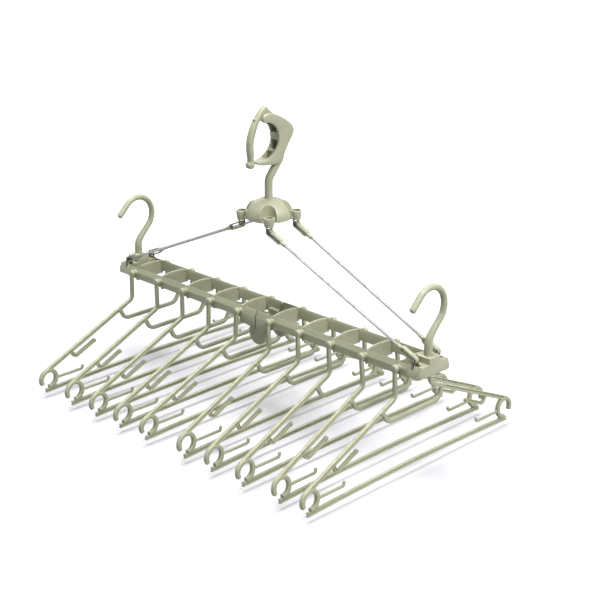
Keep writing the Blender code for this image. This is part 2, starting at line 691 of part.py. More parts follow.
def make_stays(wire_material, link_material):
    parts = stay_parts()
    for side_x in (-1, 1):
        for side_y in (-1, 1):
            hub_end = Vector((side_x * LUG_X, side_y * LUG_Y, BEAM_Z + HUB_BAR_Z))
            beam_end = Vector((side_x * BEAM_BAR_X, side_y * BEAM_BAR_Y, BEAM_Z + BEAM_BAR_Z))
            along = (beam_end - hub_end).normalized()
            across = Vector((0, 0, 1)).cross(along).normalized()
            turn = Matrix((along, across, along.cross(across))).transposed().to_4x4()
            for kind, source in parts.items():
                item = mesh_object(kind, source.data.copy())
                item.data.transform(turn)
                item.location = hub_end
                material = wire_material if kind == "stay_wire" else link_material
                finish(item, f"{kind}_{corner_name(side_x, side_y)}", material)
    for source in parts.values():
        bpy.data.objects.remove(source, do_unlink=True)


def make_hub(material):
    """The dome with its neck and four lug cups."""
    rim = BEAM_Z + HUB_RIM_Z
    outer_low, inner = rim + HUB_RIM_HEIGHT, HUB_RADIUS - HUB_WALL
    rise = HUB_HEIGHT - HUB_RIM_HEIGHT
    bore = STEM_RADIUS + FIT_GAP
    profile = [(bore, rim + HUB_HEIGHT)]
    for step in range(6):
        angle = math.radians(78 - 78 * step / 5)
        profile.append((HUB_RADIUS * math.cos(angle), outer_low + rise * math.sin(angle)))
    profile += [(HUB_RADIUS, rim), (inner, rim)]
    for step in range(4):
        angle = math.radians(66 * step / 3)
        profile.append((inner * math.cos(angle), outer_low + (rise - HUB_WALL) * math.sin(angle)))
    profile += [(NECK_RADIUS, rim + HUB_HEIGHT - NECK_DEPTH), (bore, rim + HUB_HEIGHT - NECK_DEPTH)]
    dome = turned("dome", profile, 20)
    cups, cutters = [], []
    top, bottom = BEAM_Z + LUG_TOP, BEAM_Z + LUG_BOTTOM
    for side_x in (-1, 1):
        for side_y in (-1, 1):
            x, y = side_x * LUG_X, side_y * LUG_Y
            cups.append(rod("cup", (x, y, bottom), (x, y, top), LUG_RADIUS, 12))
            cutters.append(rod("bore", (x, y, bottom + LUG_FLOOR), (x, y, rim + HUB_HEIGHT), LUG_BORE, 12))
            for leg in (-1, 1):
                leg_y = y + leg * STAPLE_SPAN / 2
                cutters.append(rod("hole", (x, leg_y, bottom - CUT_OVERRUN), (x, leg_y, top),
                                   STAPLE_WIRE + FIT_GAP, 6))
    return finish(cut(joined(dome, *cups), *cutters), "hub_dome", material)


def make_side_hook(side, name, material, cap_material):
    """A round hook that turns in the end of the beam."""
    x = side * SIDE_HOOK_X
    base = BEAM_Z + SOCKET_TOP + FIT_GAP
    bottom = BEAM_Z + END_BLOCK_BOTTOM
    bow = arc((SIDE_HOOK_BOW_Y, SIDE_HOOK_BOW_Z), SIDE_HOOK_BOW_RADIUS, -24.0, 138.0, 12)
    path = [(0.0, SOCKET_TOP + FIT_GAP), (0.0, SIDE_HOOK_NECK_Z * 0.6),
            (SIDE_HOOK_BASE_RADIUS * 0.45, SIDE_HOOK_NECK_Z)]
    path += bow + [(SIDE_HOOK_TIP_Y, SIDE_HOOK_TIP_Z)]
    slim = SIDE_HOOK_RADIUS / SIDE_HOOK_BASE_RADIUS
    radii = [1.0, 1.0, (1.0 + slim) / 2] + [slim] * (len(path) - 3)
    hook = wire("hook", [(x, y, z + BEAM_Z) for y, z in path], SIDE_HOOK_BASE_RADIUS, radii=radii)
    foot = bottom + SPIGOT_CAP_HEIGHT / 2
    spigot = rod("spigot", (x, 0, foot), (x, 0, base + SPIGOT_RADIUS), SPIGOT_RADIUS, 12)
    item = joined(hook, spigot)
    finish(on_axis(item, (x, 0, base)), f"side_hook_{name}", material)
    cap = rod("cap", (x, 0, bottom), (x, 0, bottom + SPIGOT_CAP_HEIGHT), SPIGOT_CAP_RADIUS, 12)
    hole = rod("bore", (x, 0, bottom), (x, 0, bottom + SPIGOT_CAP_HEIGHT + CUT_OVERRUN),
               SPIGOT_RADIUS + FIT_GAP, 12)
    hole.location.z = SPIGOT_CAP_HEIGHT / 2 - FIT_GAP
    finish(cut(cap, hole), f"side_hook_cap_{name}", cap_material)


# The jaw and the lever are drawn in the plane across the pole, as (y, z) from its centre.
# Each row of shares is a point; the shares are of these two sizes
JAW_SPAN = 0.050
JAW_RISE = 0.030
JAW_OUTLINE_SHARES = (
    (-0.30, 0.78), (-0.27, 1.02), (-0.10, 1.10), (0.16, 0.99), (0.42, 0.77), (0.67, 0.48), (0.78, 0.22),
    (0.76, -0.02), (0.60, -0.40), (0.47, -0.72), (0.36, -1.06), (0.20, -1.20), (-0.20, -1.17), (-0.44, -1.10),
    (-0.51, -1.02), (-0.45, -0.95), (-0.22, -0.94), (0.03, -0.73), (0.17, -0.50), (0.24, -0.20), (0.22, 0.14),
    (0.14, 0.45), (-0.04, 0.66), (-0.20, 0.72),
)
ARM_PATH_SHARES = (
    (-0.10, 1.34), (-0.26, 1.14), (-0.42, 0.84), (-0.56, 0.42), (-0.645, 0.0), (-0.66, -0.34),
    (-0.645, -0.68), (-0.66, -1.06),
)
ARM_KNOB_RADIUS = 0.0046
# Two pockets between the jaw's plates, as shares: the heights of each, then how far they run in and out
POCKET_HEIGHT_SHARES = ((-0.60, -0.18), (0.16, 0.62))
POCKET_INNER_SHARE = 0.02
POCKET_OUTER_SHARE = 0.42
# The back corner of the lever's web, as shares of its heel
WEB_CORNER_SHARES = (0.97, 0.14)


def jaw_points(shares):
    return [(y * JAW_SPAN, z * JAW_RISE) for y, z in shares]


def make_clamp(material, steel):
    """The fixed jaw with its stem, in one moulding, hollow inside and open towards the pole."""
    jaw = plate("jaw", "x", (0, 0, 0), [jaw_points(JAW_OUTLINE_SHARES)], JAW_THICKNESS)
    stem = [(0.0, STEM_BOTTOM), (0.0, STEM_BEND_Z), (STEM_TOP_Y, STEM_TOP_Z),
            (STEM_TOP_Y * 1.15, STEM_TOP_Z / 3)]
    path = rounded(stem, STEM_RADIUS * 2.5, 3)
    bar = wire("stem", [(0.0, y, z) for y, z in path], STEM_RADIUS)
    pockets = []
    for low, high in POCKET_HEIGHT_SHARES:
        corner = (JAW_WALL - JAW_THICKNESS / 2, JAW_SPAN * POCKET_INNER_SHARE, JAW_RISE * low)
        other = (JAW_THICKNESS / 2 - JAW_WALL, JAW_SPAN * POCKET_OUTER_SHARE, JAW_RISE * high)
        pockets.append(block("pocket", corner, other))
    slot_half = ARM_THICKNESS / 2 + FIT_GAP * 2
    reach = HINGE_SLOT_RADIUS
    slot = rod("slot", (-slot_half, HINGE_Y, HINGE_Z), (slot_half, HINGE_Y, HINGE_Z), reach, 24)
    over = block("over", (-slot_half, HINGE_Y - HINGE_SLOT_REACH, HINGE_Z - HINGE_SLOT_DEPTH),
                 (slot_half, HINGE_Y, HINGE_Z + reach))
    half = JAW_THICKNESS / 2
    pin_hole = rod("hole", (-JAW_THICKNESS, HINGE_Y, HINGE_Z), (half - JAW_COVER, HINGE_Y, HINGE_Z),
                   HINGE_PIN_RADIUS + FIT_GAP, 12)
    body = cut(joined(jaw, bar), *pockets, joined(slot, over), pin_hole)
    finish(body, "clamp_jaw", material)
    start = -half - FIT_GAP
    end = half - JAW_COVER - FIT_GAP
    pin = rod("pin", (start - FIT_GAP, HINGE_Y, HINGE_Z), (end, HINGE_Y, HINGE_Z), HINGE_PIN_RADIUS, 12)
    far = start - HINGE_PIN_RADIUS / 2
    head = rod("head", (far, HINGE_Y, HINGE_Z), (start, HINGE_Y, HINGE_Z), HINGE_HEAD_RADIUS, 12)
    finish(joined(pin, head), "clamp_hinge_pin", steel)


def make_arm(material):
    """The sprung lever that closes the jaw."""
    points = jaw_points(ARM_PATH_SHARES)
    bar = strip("arm", "x", (0, 0, 0), points, ARM_RADIUS * 2, ARM_THICKNESS)
    heel = ARM_HEEL_RADIUS
    web_corner = (HINGE_Y + heel * WEB_CORNER_SHARES[0], HINGE_Z + heel * WEB_CORNER_SHARES[1])
    outline = [points[0], points[1], points[2], (HINGE_Y, HINGE_Z - HINGE_BOSS_RADIUS / 2), web_corner]
    web = plate("web", "x", (0, 0, 0), [outline], ARM_THICKNESS * 0.96)
    half = ARM_THICKNESS / 2
    boss = rod("boss", (-half, HINGE_Y, HINGE_Z), (half, HINGE_Y, HINGE_Z), HINGE_BOSS_RADIUS, 16)
    knob = rod("knob", (-half * 1.1, *points[-1]), (half * 1.1, *points[-1]), ARM_KNOB_RADIUS, 14)
    hole = rod("hole", (-JAW_THICKNESS, HINGE_Y, HINGE_Z), (JAW_THICKNESS, HINGE_Y, HINGE_Z),
               HINGE_PIN_RADIUS + FIT_GAP, 12)
    room = rod("room", (half - SPRING_ROOM_DEPTH, HINGE_Y, HINGE_Z), (half + CUT_OVERRUN, HINGE_Y, HINGE_Z),
               SPRING_ROOM_RADIUS, 16)
    arm = cut(joined(bar, web, boss, knob), hole, room)
    finish(on_axis(arm, (0, HINGE_Y, HINGE_Z)), "clamp_arm", material)


def make_spring(steel):
    """The torsion spring around the hinge pin, beside the lever."""
    turn_steps = 10
    first = ARM_THICKNESS / 2 - SPRING_ROOM_DEPTH + SPRING_WIRE + FIT_GAP * 2
    last = ARM_THICKNESS / 2 - SPRING_WIRE
    count = SPRING_TURNS * turn_steps
    gap = (last - first) / SPRING_TURNS - 2 * SPRING_WIRE
    print("spring: least gap between turns", round(gap * 1000, 2), "mm")
    points = []
    for step in range(count + 1):
        angle = math.radians(200.0) + 2 * math.pi * step / turn_steps
        spot = (HINGE_Y + SPRING_RADIUS * math.cos(angle), HINGE_Z + SPRING_RADIUS * math.sin(angle))
        points.append((first + (last - first) * step / count, *spot))
    for end, place in ((points[0], 0), (points[-1], len(points) + 1)):
        out = Vector((0, end[1] - HINGE_Y, end[2] - HINGE_Z)).normalized()
        leg = Vector(end) + out * (SPRING_ROOM_RADIUS - SPRING_RADIUS - SPRING_WIRE * 2)
        points.insert(place, tuple(leg))
    finish(wire("spring", points, SPRING_WIRE, resolution=1), "clamp_spring", steel)


def make_retainer(material):
    """The ring below the dome's neck that keeps the stem in it."""
    top = BEAM_Z + HUB_RIM_Z + HUB_HEIGHT - NECK_DEPTH - FIT_GAP
    ring = rod("ring", (0, 0, top - RETAINER_HEIGHT), (0, 0, top), RETAINER_RADIUS, 20)
    hole = rod("hole", (0, 0, top - RETAINER_HEIGHT - CUT_OVERRUN), (0, 0, top + CUT_OVERRUN),
               STEM_RADIUS + FIT_GAP, 16)
    finish(cut(ring, hole), "stem_retainer", material)


clear_scene()
PART = make_collection("clip_drying_hanger")
sage = make_material("sage_plastic", SAGE, 0.42)
sage_deep = make_material("sage_plastic_deep", SAGE_DEEP, 0.5)
steel = make_material("steel_wire", STEEL, 0.3, 1.0)
steel_dark = make_material("steel_fittings", STEEL_DARK, 0.35, 1.0)
make_hangers(sage)
make_beam(sage, steel_dark)
make_staples(steel_dark)
make_stays(steel, sage)
make_hub(sage)
make_side_hook(-1, "left", sage, sage_deep)
make_side_hook(1, "right", sage, sage_deep)
make_clamp(sage, steel_dark)
make_arm(sage)
make_spring(steel_dark)
make_retainer(sage_deep)
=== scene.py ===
# %% [markdown]
# # A clip drying hanger, piece by piece
#
# The real object hangs from a pole. A sprung clamp grips it, a domed hub hangs under the clamp, and
# four wire stays spread from the hub to the ends of a folding beam. Ten moulded bars swing under
# that beam. Nearly all of it is sage green plastic; the stays and their small staples are steel.
#
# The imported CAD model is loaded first, as a fixed frame. It says where each piece is and what moves.
# Each cell then makes one piece with finer shapes than the CAD has, and hides the node it stands for.

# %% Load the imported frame
import json
import math

import bpy
import bmesh
from mathutils import Matrix, Vector


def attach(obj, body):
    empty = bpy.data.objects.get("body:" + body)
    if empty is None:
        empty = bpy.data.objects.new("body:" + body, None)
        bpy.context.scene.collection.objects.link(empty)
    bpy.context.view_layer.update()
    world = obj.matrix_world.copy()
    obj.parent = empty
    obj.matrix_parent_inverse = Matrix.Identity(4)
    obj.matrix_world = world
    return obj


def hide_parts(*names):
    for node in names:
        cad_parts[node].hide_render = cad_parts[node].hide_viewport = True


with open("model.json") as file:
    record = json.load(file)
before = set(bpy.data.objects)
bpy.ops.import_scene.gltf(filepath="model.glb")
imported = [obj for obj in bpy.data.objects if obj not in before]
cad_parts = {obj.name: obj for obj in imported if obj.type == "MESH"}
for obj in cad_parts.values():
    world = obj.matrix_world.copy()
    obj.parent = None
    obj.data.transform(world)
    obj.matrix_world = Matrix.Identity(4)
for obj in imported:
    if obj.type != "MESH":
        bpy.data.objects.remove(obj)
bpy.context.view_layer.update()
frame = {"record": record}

BODY_OF = {}
for body_name, node_names in frame["record"]["behaviour"]["bodies"].items():
    for node_name in node_names:
        BODY_OF[node_name] = body_name

# %% [markdown]
# ## The camera
#
# The photograph looks down on the object from its right front corner with a long lens. A camera's
# place can be found by hand, but here it was fitted to some twenty points of the object, such as the
# ends of the beam and the rings. The camera is built from its three directions, so nothing in it
# depends on a target or a constraint.

# %% Camera
CAMERA_PLACE = Vector((1.3249, -1.2736, 0.4484))
CAMERA_RIGHT = Vector((0.70984, 0.70436, -0.00217))
CAMERA_UP = Vector((-0.24201, 0.24678, 0.93837))
LENS_MM, SENSOR_MM = 86.0, 36.0
scene = bpy.context.scene


def new_object(name, data):
    """An object in the scene that shows this data."""
    item = bpy.data.objects.new(name, data)
    scene.collection.objects.link(item)
    return item


camera_data = bpy.data.cameras.new("photo_camera")
camera_data.lens = LENS_MM
camera_data.sensor_width = SENSOR_MM
camera = new_object("photo_camera", camera_data)
camera_back = CAMERA_RIGHT.cross(CAMERA_UP)
turn = Matrix((CAMERA_RIGHT, CAMERA_UP, camera_back)).transposed().to_4x4()
camera.matrix_world = Matrix.Translation(CAMERA_PLACE) @ turn
scene.camera = camera
print("camera: lens", LENS_MM, "mm, back direction", [round(v, 3) for v in camera_back])

# %% [markdown]
# ## Floor, background and light
#
# The photograph is a catalogue picture: white all round, with a soft lilac shadow close under each
# bar. A pale floor just below the lowest bars catches that shadow. Light Path tells rays apart: the
# camera sees lilac paper with a glow that grows to white further out, and all other rays meet a
# duller floor, so that it hardly lights the object from below.
#
# The tops and the faces towards +X are bright, and those towards -Y are dark. So a big soft key lamp
# stands on the right, a second one as strong hangs above, and a weak one at the back on the left
# keeps the far edges apart. The world adds only a little.

# %% Helpers for node trees
WHITE = (1.0, 1.0, 1.0, 1.0)


def feed(tree, node, socket, value):
    """Gives an input a constant, or links it to a (node, socket) pair."""
    if isinstance(value, tuple) and isinstance(value[0], bpy.types.Node):
        tree.links.new(value[0].outputs[value[1]], node.inputs[socket])
    else:
        node.inputs[socket].default_value = value


def new_node(tree, kind, values=None, **settings):
    """Adds a node; settings go on the node itself, and values on its inputs."""
    node = tree.nodes.new(kind)
    for name, value in settings.items():
        setattr(node, name, value)
    for socket, value in (values or {}).items():
        feed(tree, node, socket, value)
    return node


def calculate(tree, operation, first, second):
    """The result of a Math node with two inputs."""
    return new_node(tree, "ShaderNodeMath", {0: first, 1: second}, operation=operation), 0


def empty_tree(owner):
    """The node tree of a material or world, without its first nodes."""
    owner.use_nodes = True
    owner.node_tree.nodes.clear()
    return owner.node_tree


def seen_directly(tree):
    """A factor that is 1 for camera, glossy and transmission rays."""
    path = new_node(tree, "ShaderNodeLightPath")
    seen = calculate(tree, "MAXIMUM", (path, "Is Camera Ray"), (path, "Is Glossy Ray"))
    return calculate(tree, "MAXIMUM", seen, (path, "Is Transmission Ray"))


def split_by_ray(tree, output_kind, seen, shown, other):
    """Shows one shader to the rays that are seen, and the other one to the rest."""
    choose = new_node(tree, "ShaderNodeMixShader", {"Fac": seen, 1: (other, 0), 2: (shown, 0)})
    new_node(tree, output_kind, {"Surface": (choose, 0)})


print("node helpers ready")

# %% Floor
FLOOR_Z, FLOOR_SIZE = -0.3925, 24.0
PAPER_COLOUR = (0.74, 0.725, 0.77, 1.0)
BOUNCE_COLOUR = (0.23, 0.23, 0.23, 1.0)
GLOW_START, GLOW_END = 0.35, 1.6
GLOW_NEAR, GLOW_FAR = 0.15, 1.0


def make_floor():
    """A wide floor that looks white, keeps the shadows and bounces little light."""
    shape = bmesh.new()
    bmesh.ops.create_grid(shape, x_segments=1, y_segments=1, size=FLOOR_SIZE / 2)
    mesh = bpy.data.meshes.new("floor")
    shape.to_mesh(mesh)
    shape.free()
    floor = new_object("floor", mesh)
    floor.location.z = FLOOR_Z
    material = bpy.data.materials.new("white_paper_floor")
    tree = empty_tree(material)
    paper = new_node(tree, "ShaderNodeBsdfDiffuse", {"Color": PAPER_COLOUR})
    bounce = new_node(tree, "ShaderNodeBsdfDiffuse", {"Color": BOUNCE_COLOUR})
    where = new_node(tree, "ShaderNodeTexCoord")
    away = new_node(tree, "ShaderNodeVectorMath", {0: (where, "Object")}, operation="LENGTH")
    amount = new_node(tree, "ShaderNodeMapRange", {
        "Value": (away, "Value"), "From Min": GLOW_START, "From Max": GLOW_END,
        "To Min": GLOW_NEAR, "To Max": GLOW_FAR})
    seen = seen_directly(tree)
    strength = calculate(tree, "MULTIPLY", seen, (amount, "Result"))
    glow = new_node(tree, "ShaderNodeEmission", {"Color": WHITE, "Strength": strength})
    both = new_node(tree, "ShaderNodeAddShader", {0: (paper, 0), 1: (glow, 0)})
    split_by_ray(tree, "ShaderNodeOutputMaterial", seen, both, bounce)
    mesh.materials.append(material)


make_floor()
print("floor at", FLOOR_Z, "m")

# %% World and lamps
ROOM_COLOUR, ROOM_LIGHT = (0.97, 0.98, 1.0, 1.0), 0.14
OBJECT_MIDDLE = Vector((0.0, 0.0, -0.25))
# Each lamp's name, place, size in metres, watts and colour
LAMPS = (
    ("key", (2.6, 0.2, 2.2), 2.0, 102.0, (1.0, 0.995, 0.97)),
    ("top", (-0.2, -0.35, 3.0), 1.4, 104.0, (1.0, 1.0, 1.0)),
    ("rim", (-2.4, 1.6, 1.2), 1.8, 8.0, (1.0, 1.0, 1.0)),
)


def make_world():
    """White where it is seen, and a faint cool light elsewhere."""
    world = bpy.data.worlds.new("studio")
    tree = empty_tree(world)
    room = new_node(tree, "ShaderNodeBackground", {"Color": ROOM_COLOUR, "Strength": ROOM_LIGHT})
    white = new_node(tree, "ShaderNodeBackground", {"Color": WHITE, "Strength": 1.0})
    split_by_ray(tree, "ShaderNodeOutputWorld", seen_directly(tree), white, room)
    scene.world = world


def soft_lamp(name, place, size, watts, colour):
    """A square area lamp that faces the object's middle."""
    data = bpy.data.lights.new(name, "AREA")
    data.shape = "SQUARE"
    data.size = size
    data.energy = watts
    data.color = colour
    lamp = new_object(name, data)
    lamp.location = place
    lamp.rotation_euler = (OBJECT_MIDDLE - Vector(place)).to_track_quat("-Z", "Y").to_euler()


scene.view_settings.view_transform = "Standard"
make_world()
for lamp_values in LAMPS:
    soft_lamp(*lamp_values)
print("world at", ROOM_LIGHT, "and", len(LAMPS), "soft lamps")

# %% [markdown]
# ## Finishes: the shared effects
#
# Moulded plastic isn't one flat colour. The melt leaves faint flow clouds and the mould has a very fine
# texture. Pointed edges are painted paler: partly wear where they rub on poles and clothes, and partly a
# painted highlight along the edges. These effects come from noise in the object's own metres, so they
# stay put when a piece moves. They are in a node group, because both plastics use them with their own
# values.
#
# Drawn steel wire has fine lines along its length and small dull spots. That is a second group.

# %% Helpers for node groups
GROUP_OUTPUTS = (("Colour", "NodeSocketColor"), ("Roughness", "NodeSocketFloat"),
                 ("Height", "NodeSocketFloat"))
MIX_FIRST, MIX_SECOND, MIX_RESULT = 6, 7, 2


def new_group(name, inputs):
    """A shader node group with named inputs, and a colour, a roughness and a height as outputs."""
    tree = bpy.data.node_groups.new(name, "ShaderNodeTree")
    for socket_name, value in inputs.items():
        kind = "NodeSocketColor" if isinstance(value, tuple) else "NodeSocketFloat"
        socket = tree.interface.new_socket(socket_name, in_out="INPUT", socket_type=kind)
        socket.default_value = value
    for socket_name, kind in GROUP_OUTPUTS:
        tree.interface.new_socket(socket_name, in_out="OUTPUT", socket_type=kind)
    return tree, tree.nodes.new("NodeGroupInput")


def noise(tree, where, scale, detail=2.0):
    """The value of a noise texture in the object's own metres."""
    values = {"Vector": (where, "Object"), "Scale": scale, "Detail": detail}
    return new_node(tree, "ShaderNodeTexNoise", values), "Fac"


def ramp(tree, value, low, high):
    """A value between low and high, mapped onto 0 to 1."""
    values = {"Value": value, "From Min": low, "From Max": high}
    return new_node(tree, "ShaderNodeMapRange", values), "Result"


def patches(tree, where, scale, detail, low, high):
    """Noise that fades in between low and high."""
    return ramp(tree, noise(tree, where, scale, detail), low, high)


def mix_colour(tree, factor, first, second, blend="MIX"):
    """The mix of two colours; a Mix node's colour sockets are known by number."""
    values = {"Factor": factor, MIX_FIRST: first, MIX_SECOND: second}
    return new_node(tree, "ShaderNodeMix", values, data_type="RGBA", blend_type=blend), MIX_RESULT


print("group outputs:", ", ".join(name for name, kind in GROUP_OUTPUTS))

# %% The plastic's group
CLOUD_TINT = (0.80, 0.81, 0.74, 1.0)
CLOUD_SCALE, SMUDGE_SCALE, RUB_SCALE, RIPPLE_SCALE, TEXTURE_SCALE = 34.0, 75.0, 160.0, 420.0, 2600.0
SMUDGE_SHARE, RIPPLE_SHARE = 0.16, 0.6
# Noise, or how pointed an edge is, fades in between these two values
CLOUD_RANGE, SMUDGE_RANGE, RUB_RANGE, EDGE_RANGE = (0.35, 0.68), (0.3, 0.7), (0.38, 0.62), (0.515, 0.60)


def make_plastic_group():
    """Flow clouds, smudges, a fine mould texture, and pale edges that are partly wear and partly a
    painted highlight.
    """
    tree, given = new_group("moulded_plastic", {
        "Colour": (0.5, 0.5, 0.35, 1.0), "Wear And Highlight Colour": (0.7, 0.7, 0.55, 1.0),
        "Cloud Amount": 0.2, "Wear And Highlight Amount": 0.3, "Roughness": 0.42})
    where = new_node(tree, "ShaderNodeTexCoord")
    clouds = patches(tree, where, CLOUD_SCALE, 3.0, *CLOUD_RANGE)
    cloud_mask = calculate(tree, "MULTIPLY", clouds, (given, "Cloud Amount"))
    deeper = mix_colour(tree, 1.0, (given, "Colour"), CLOUD_TINT, "MULTIPLY")
    cloudy = mix_colour(tree, cloud_mask, (given, "Colour"), deeper)
    # Pointed edges are painted paler here: partly wear, partly a painted highlight along the edges.
    shape = new_node(tree, "ShaderNodeNewGeometry")
    edge = ramp(tree, (shape, "Pointiness"), *EDGE_RANGE)
    rubbed = patches(tree, where, RUB_SCALE, 4.0, *RUB_RANGE)
    wear_and_highlight = calculate(tree, "MULTIPLY", edge, rubbed)
    wear_and_highlight_mask = calculate(tree, "MULTIPLY", wear_and_highlight, (given, "Wear And Highlight Amount"))
    coloured = mix_colour(tree, wear_and_highlight_mask, cloudy, (given, "Wear And Highlight Colour"))
    smudges = patches(tree, where, SMUDGE_SCALE, 4.0, *SMUDGE_RANGE)
    uneven = calculate(tree, "MULTIPLY", smudges, SMUDGE_SHARE)
    rough = calculate(tree, "ADD", (given, "Roughness"), uneven)
    ripples = calculate(tree, "MULTIPLY", noise(tree, where, RIPPLE_SCALE), RIPPLE_SHARE)
    height = calculate(tree, "ADD", noise(tree, where, TEXTURE_SCALE), ripples)
    new_node(tree, "NodeGroupOutput", {"Colour": coloured, "Roughness": rough, "Height": height})
    return tree


PLASTIC_GROUP = make_plastic_group()
print("node group:", PLASTIC_GROUP.name, len(PLASTIC_GROUP.nodes), "nodes")

# %% The wire's group
LINE_SCALE, SPOT_SCALE = 1900.0, 120.0
SPOT_RANGE, SPOT_ROUGHNESS = (0.42, 0.70), 0.25


def make_wire_group():
    """Fine drawing lines and dull spots."""
    tree, given = new_group("drawn_wire", {
        "Colour": (0.5, 0.5, 0.5, 1.0), "Tarnish Colour": (0.3, 0.3, 0.3, 1.0),
        "Tarnish Amount": 0.4, "Roughness": 0.3})
    where = new_node(tree, "ShaderNodeTexCoord")
    spots = patches(tree, where, SPOT_SCALE, 5.0, *SPOT_RANGE)
    dulled = calculate(tree, "MULTIPLY", spots, (given, "Tarnish Amount"))
    coloured = mix_colour(tree, dulled, (given, "Colour"), (given, "Tarnish Colour"))
    uneven = calculate(tree, "MULTIPLY", spots, SPOT_ROUGHNESS)
    rough = calculate(tree, "ADD", (given, "Roughness"), uneven)
    lines = noise(tree, where, LINE_SCALE)
    new_node(tree, "NodeGroupOutput", {"Colour": coloured, "Roughness": rough, "Height": lines})
    return tree


WIRE_GROUP = make_wire_group()
print("node group:", WIRE_GROUP.name, len(WIRE_GROUP.nodes), "nodes")

# %% [markdown]
# ## The four materials
#
# The frame's record names four finishes: the sage plastic, a deeper sage of the hidden rings, drawn
# steel for the stays and dark plated steel for the staples, pins and spring. Each material places
# one of the groups and gives it its own colours. The plastic has a thin coat, which gives the soft
# sheen of a moulding, and the steel is a rough metal.

# %% Materials
COAT_ROUGHNESS = 0.25
PLASTIC_GRAIN, WIRE_GRAIN = 0.00012, 0.00005


def make_finish(name, group, values, bump_strength, bump_distance, metallic=0.0, coat=0.0):
    """A Principled material whose colour, roughness and bump come from a group."""
    material = bpy.data.materials.new(name)
    material.use_nodes = True
    tree = material.node_tree
    effect = new_node(tree, "ShaderNodeGroup", values, node_tree=group)
    bump = new_node(tree, "ShaderNodeBump", {
        "Strength": bump_strength, "Distance": bump_distance, "Height": (effect, "Height")})
    for socket, value in (
            ("Base Color", (effect, "Colour")), ("Roughness", (effect, "Roughness")),
            ("Normal", (bump, "Normal")), ("Metallic", metallic),
            ("Coat Weight", coat), ("Coat Roughness", COAT_ROUGHNESS)):
        feed(tree, tree.nodes["Principled BSDF"], socket, value)
    return material


# Each plastic's pale edge colour is partly wear and partly a painted highlight on its pointed edges.
SAGE = make_finish(
    "sage_moulding", PLASTIC_GROUP,
    {"Colour": (0.458, 0.470, 0.330, 1.0), "Wear And Highlight Colour": (0.64, 0.65, 0.52, 1.0),
     "Cloud Amount": 0.35, "Wear And Highlight Amount": 0.55, "Roughness": 0.36},
    0.12, PLASTIC_GRAIN, coat=0.12)
SAGE_DEEP = make_finish(
    "sage_deep_moulding", PLASTIC_GROUP,
    {"Colour": (0.400, 0.425, 0.280, 1.0), "Wear And Highlight Colour": (0.60, 0.62, 0.45, 1.0),
     "Cloud Amount": 0.35, "Wear And Highlight Amount": 0.5, "Roughness": 0.40},
    0.14, PLASTIC_GRAIN, coat=0.08)
STEEL = make_finish(
    "drawn_steel", WIRE_GROUP,
    {"Colour": (0.37, 0.37, 0.365, 1.0), "Tarnish Colour": (0.26, 0.26, 0.25, 1.0),
     "Tarnish Amount": 0.5, "Roughness": 0.46},
    0.10, WIRE_GRAIN, metallic=1.0)
STEEL_DARK = make_finish(
    "plated_steel", WIRE_GROUP,
    {"Colour": (0.125, 0.120, 0.103, 1.0), "Tarnish Colour": (0.070, 0.066, 0.055, 1.0),
     "Tarnish Amount": 0.5, "Roughness": 0.32},
    0.12, WIRE_GRAIN, metallic=1.0)

# %% [markdown]
# ## The tools for shapes
#
# Every bar on this object is a section that follows a line, so the most useful tool is a sweep. A
# bevelled curve could do it, but a sweep in mesh code can have an I-shaped section and rounded ends.
# The other tools are a slab (a flat outline with rounded edges, from a filled 2D curve), a lathe and
# a drum. Pieces that are one moulding are fused with a Boolean modifier, so the result is one closed
# skin.

# %% Lines and outlines
EDGE = 0.0004
ROUND = 2.0
CHAMFER_SHARE = 0.28


def circle(count, shift=0.0):
    """The cosine and sine of evenly spread angles."""
    angles = [2 * math.pi * (k + shift) / count for k in range(count)]
    return [(math.cos(angle), math.sin(angle)) for angle in angles]


def arc(centre, radius, start_deg, end_deg, steps, rise=None):
    """Points along an arc, both ends included; a rise makes it elliptical."""
    points = []
    for step in range(steps + 1):
        angle = math.radians(start_deg + (end_deg - start_deg) * step / steps)
        height = (radius if rise is None else rise) * math.sin(angle)
        points.append((centre[0] + radius * math.cos(angle), centre[1] + height))
    return points


def bowed(half, base, rise, steps):
    """A shallow bow from -half to half, with its middle higher by the rise."""
    shares = [2 * step / steps - 1 for step in range(steps + 1)]
    return [(share * half, base + rise * (1 - share * share)) for share in shares]


def rounded(corners, radius, steps):
    """A path through corners, with each inner corner turned on an arc of the radius."""
    path = [tuple(corners[0])]
    for before, corner, after in zip(corners, corners[1:], corners[2:]):
        before, corner, after = Vector(before), Vector(corner), Vector(after)
        come, leave = (before - corner).normalized(), (after - corner).normalized()
        half = come.angle(leave) / 2
        shortest = min((before - corner).length, (after - corner).length)
        reach = min(radius / math.tan(half), shortest / 2)
        centre = corner + (come + leave).normalized() * (reach / math.cos(half))
        start, end = corner + come * reach - centre, corner + leave * reach - centre
        for step in range(steps + 1):
            share = step / steps
            spoke = (start * (1 - share) + end * share).normalized() * start.length
            path.append(tuple(centre + spoke))
    path.append(tuple(corners[-1]))
    return path


def smoothed(points, steps, closed=False):
    """A Catmull-Rom curve through points in a plane."""
    points = [Vector(point) for point in points]
    count = len(points)
    path = []
    for k in range(count if closed else count - 1):
        numbers = [k + shift for shift in (-1, 0, 1, 2)]
        if closed:
            numbers = [number % count for number in numbers]
        before, start, end, after = [points[max(0, min(number, count - 1))] for number in numbers]
        bend = 2 * before - 5 * start + 4 * end - after
        twist = 3 * start - before - 3 * end + after
        for step in range(steps):
            t = step / steps
            path.append(0.5 * (2 * start + (end - before) * t + bend * t * t + twist * t ** 3))
    return path if closed else path + [points[-1]]


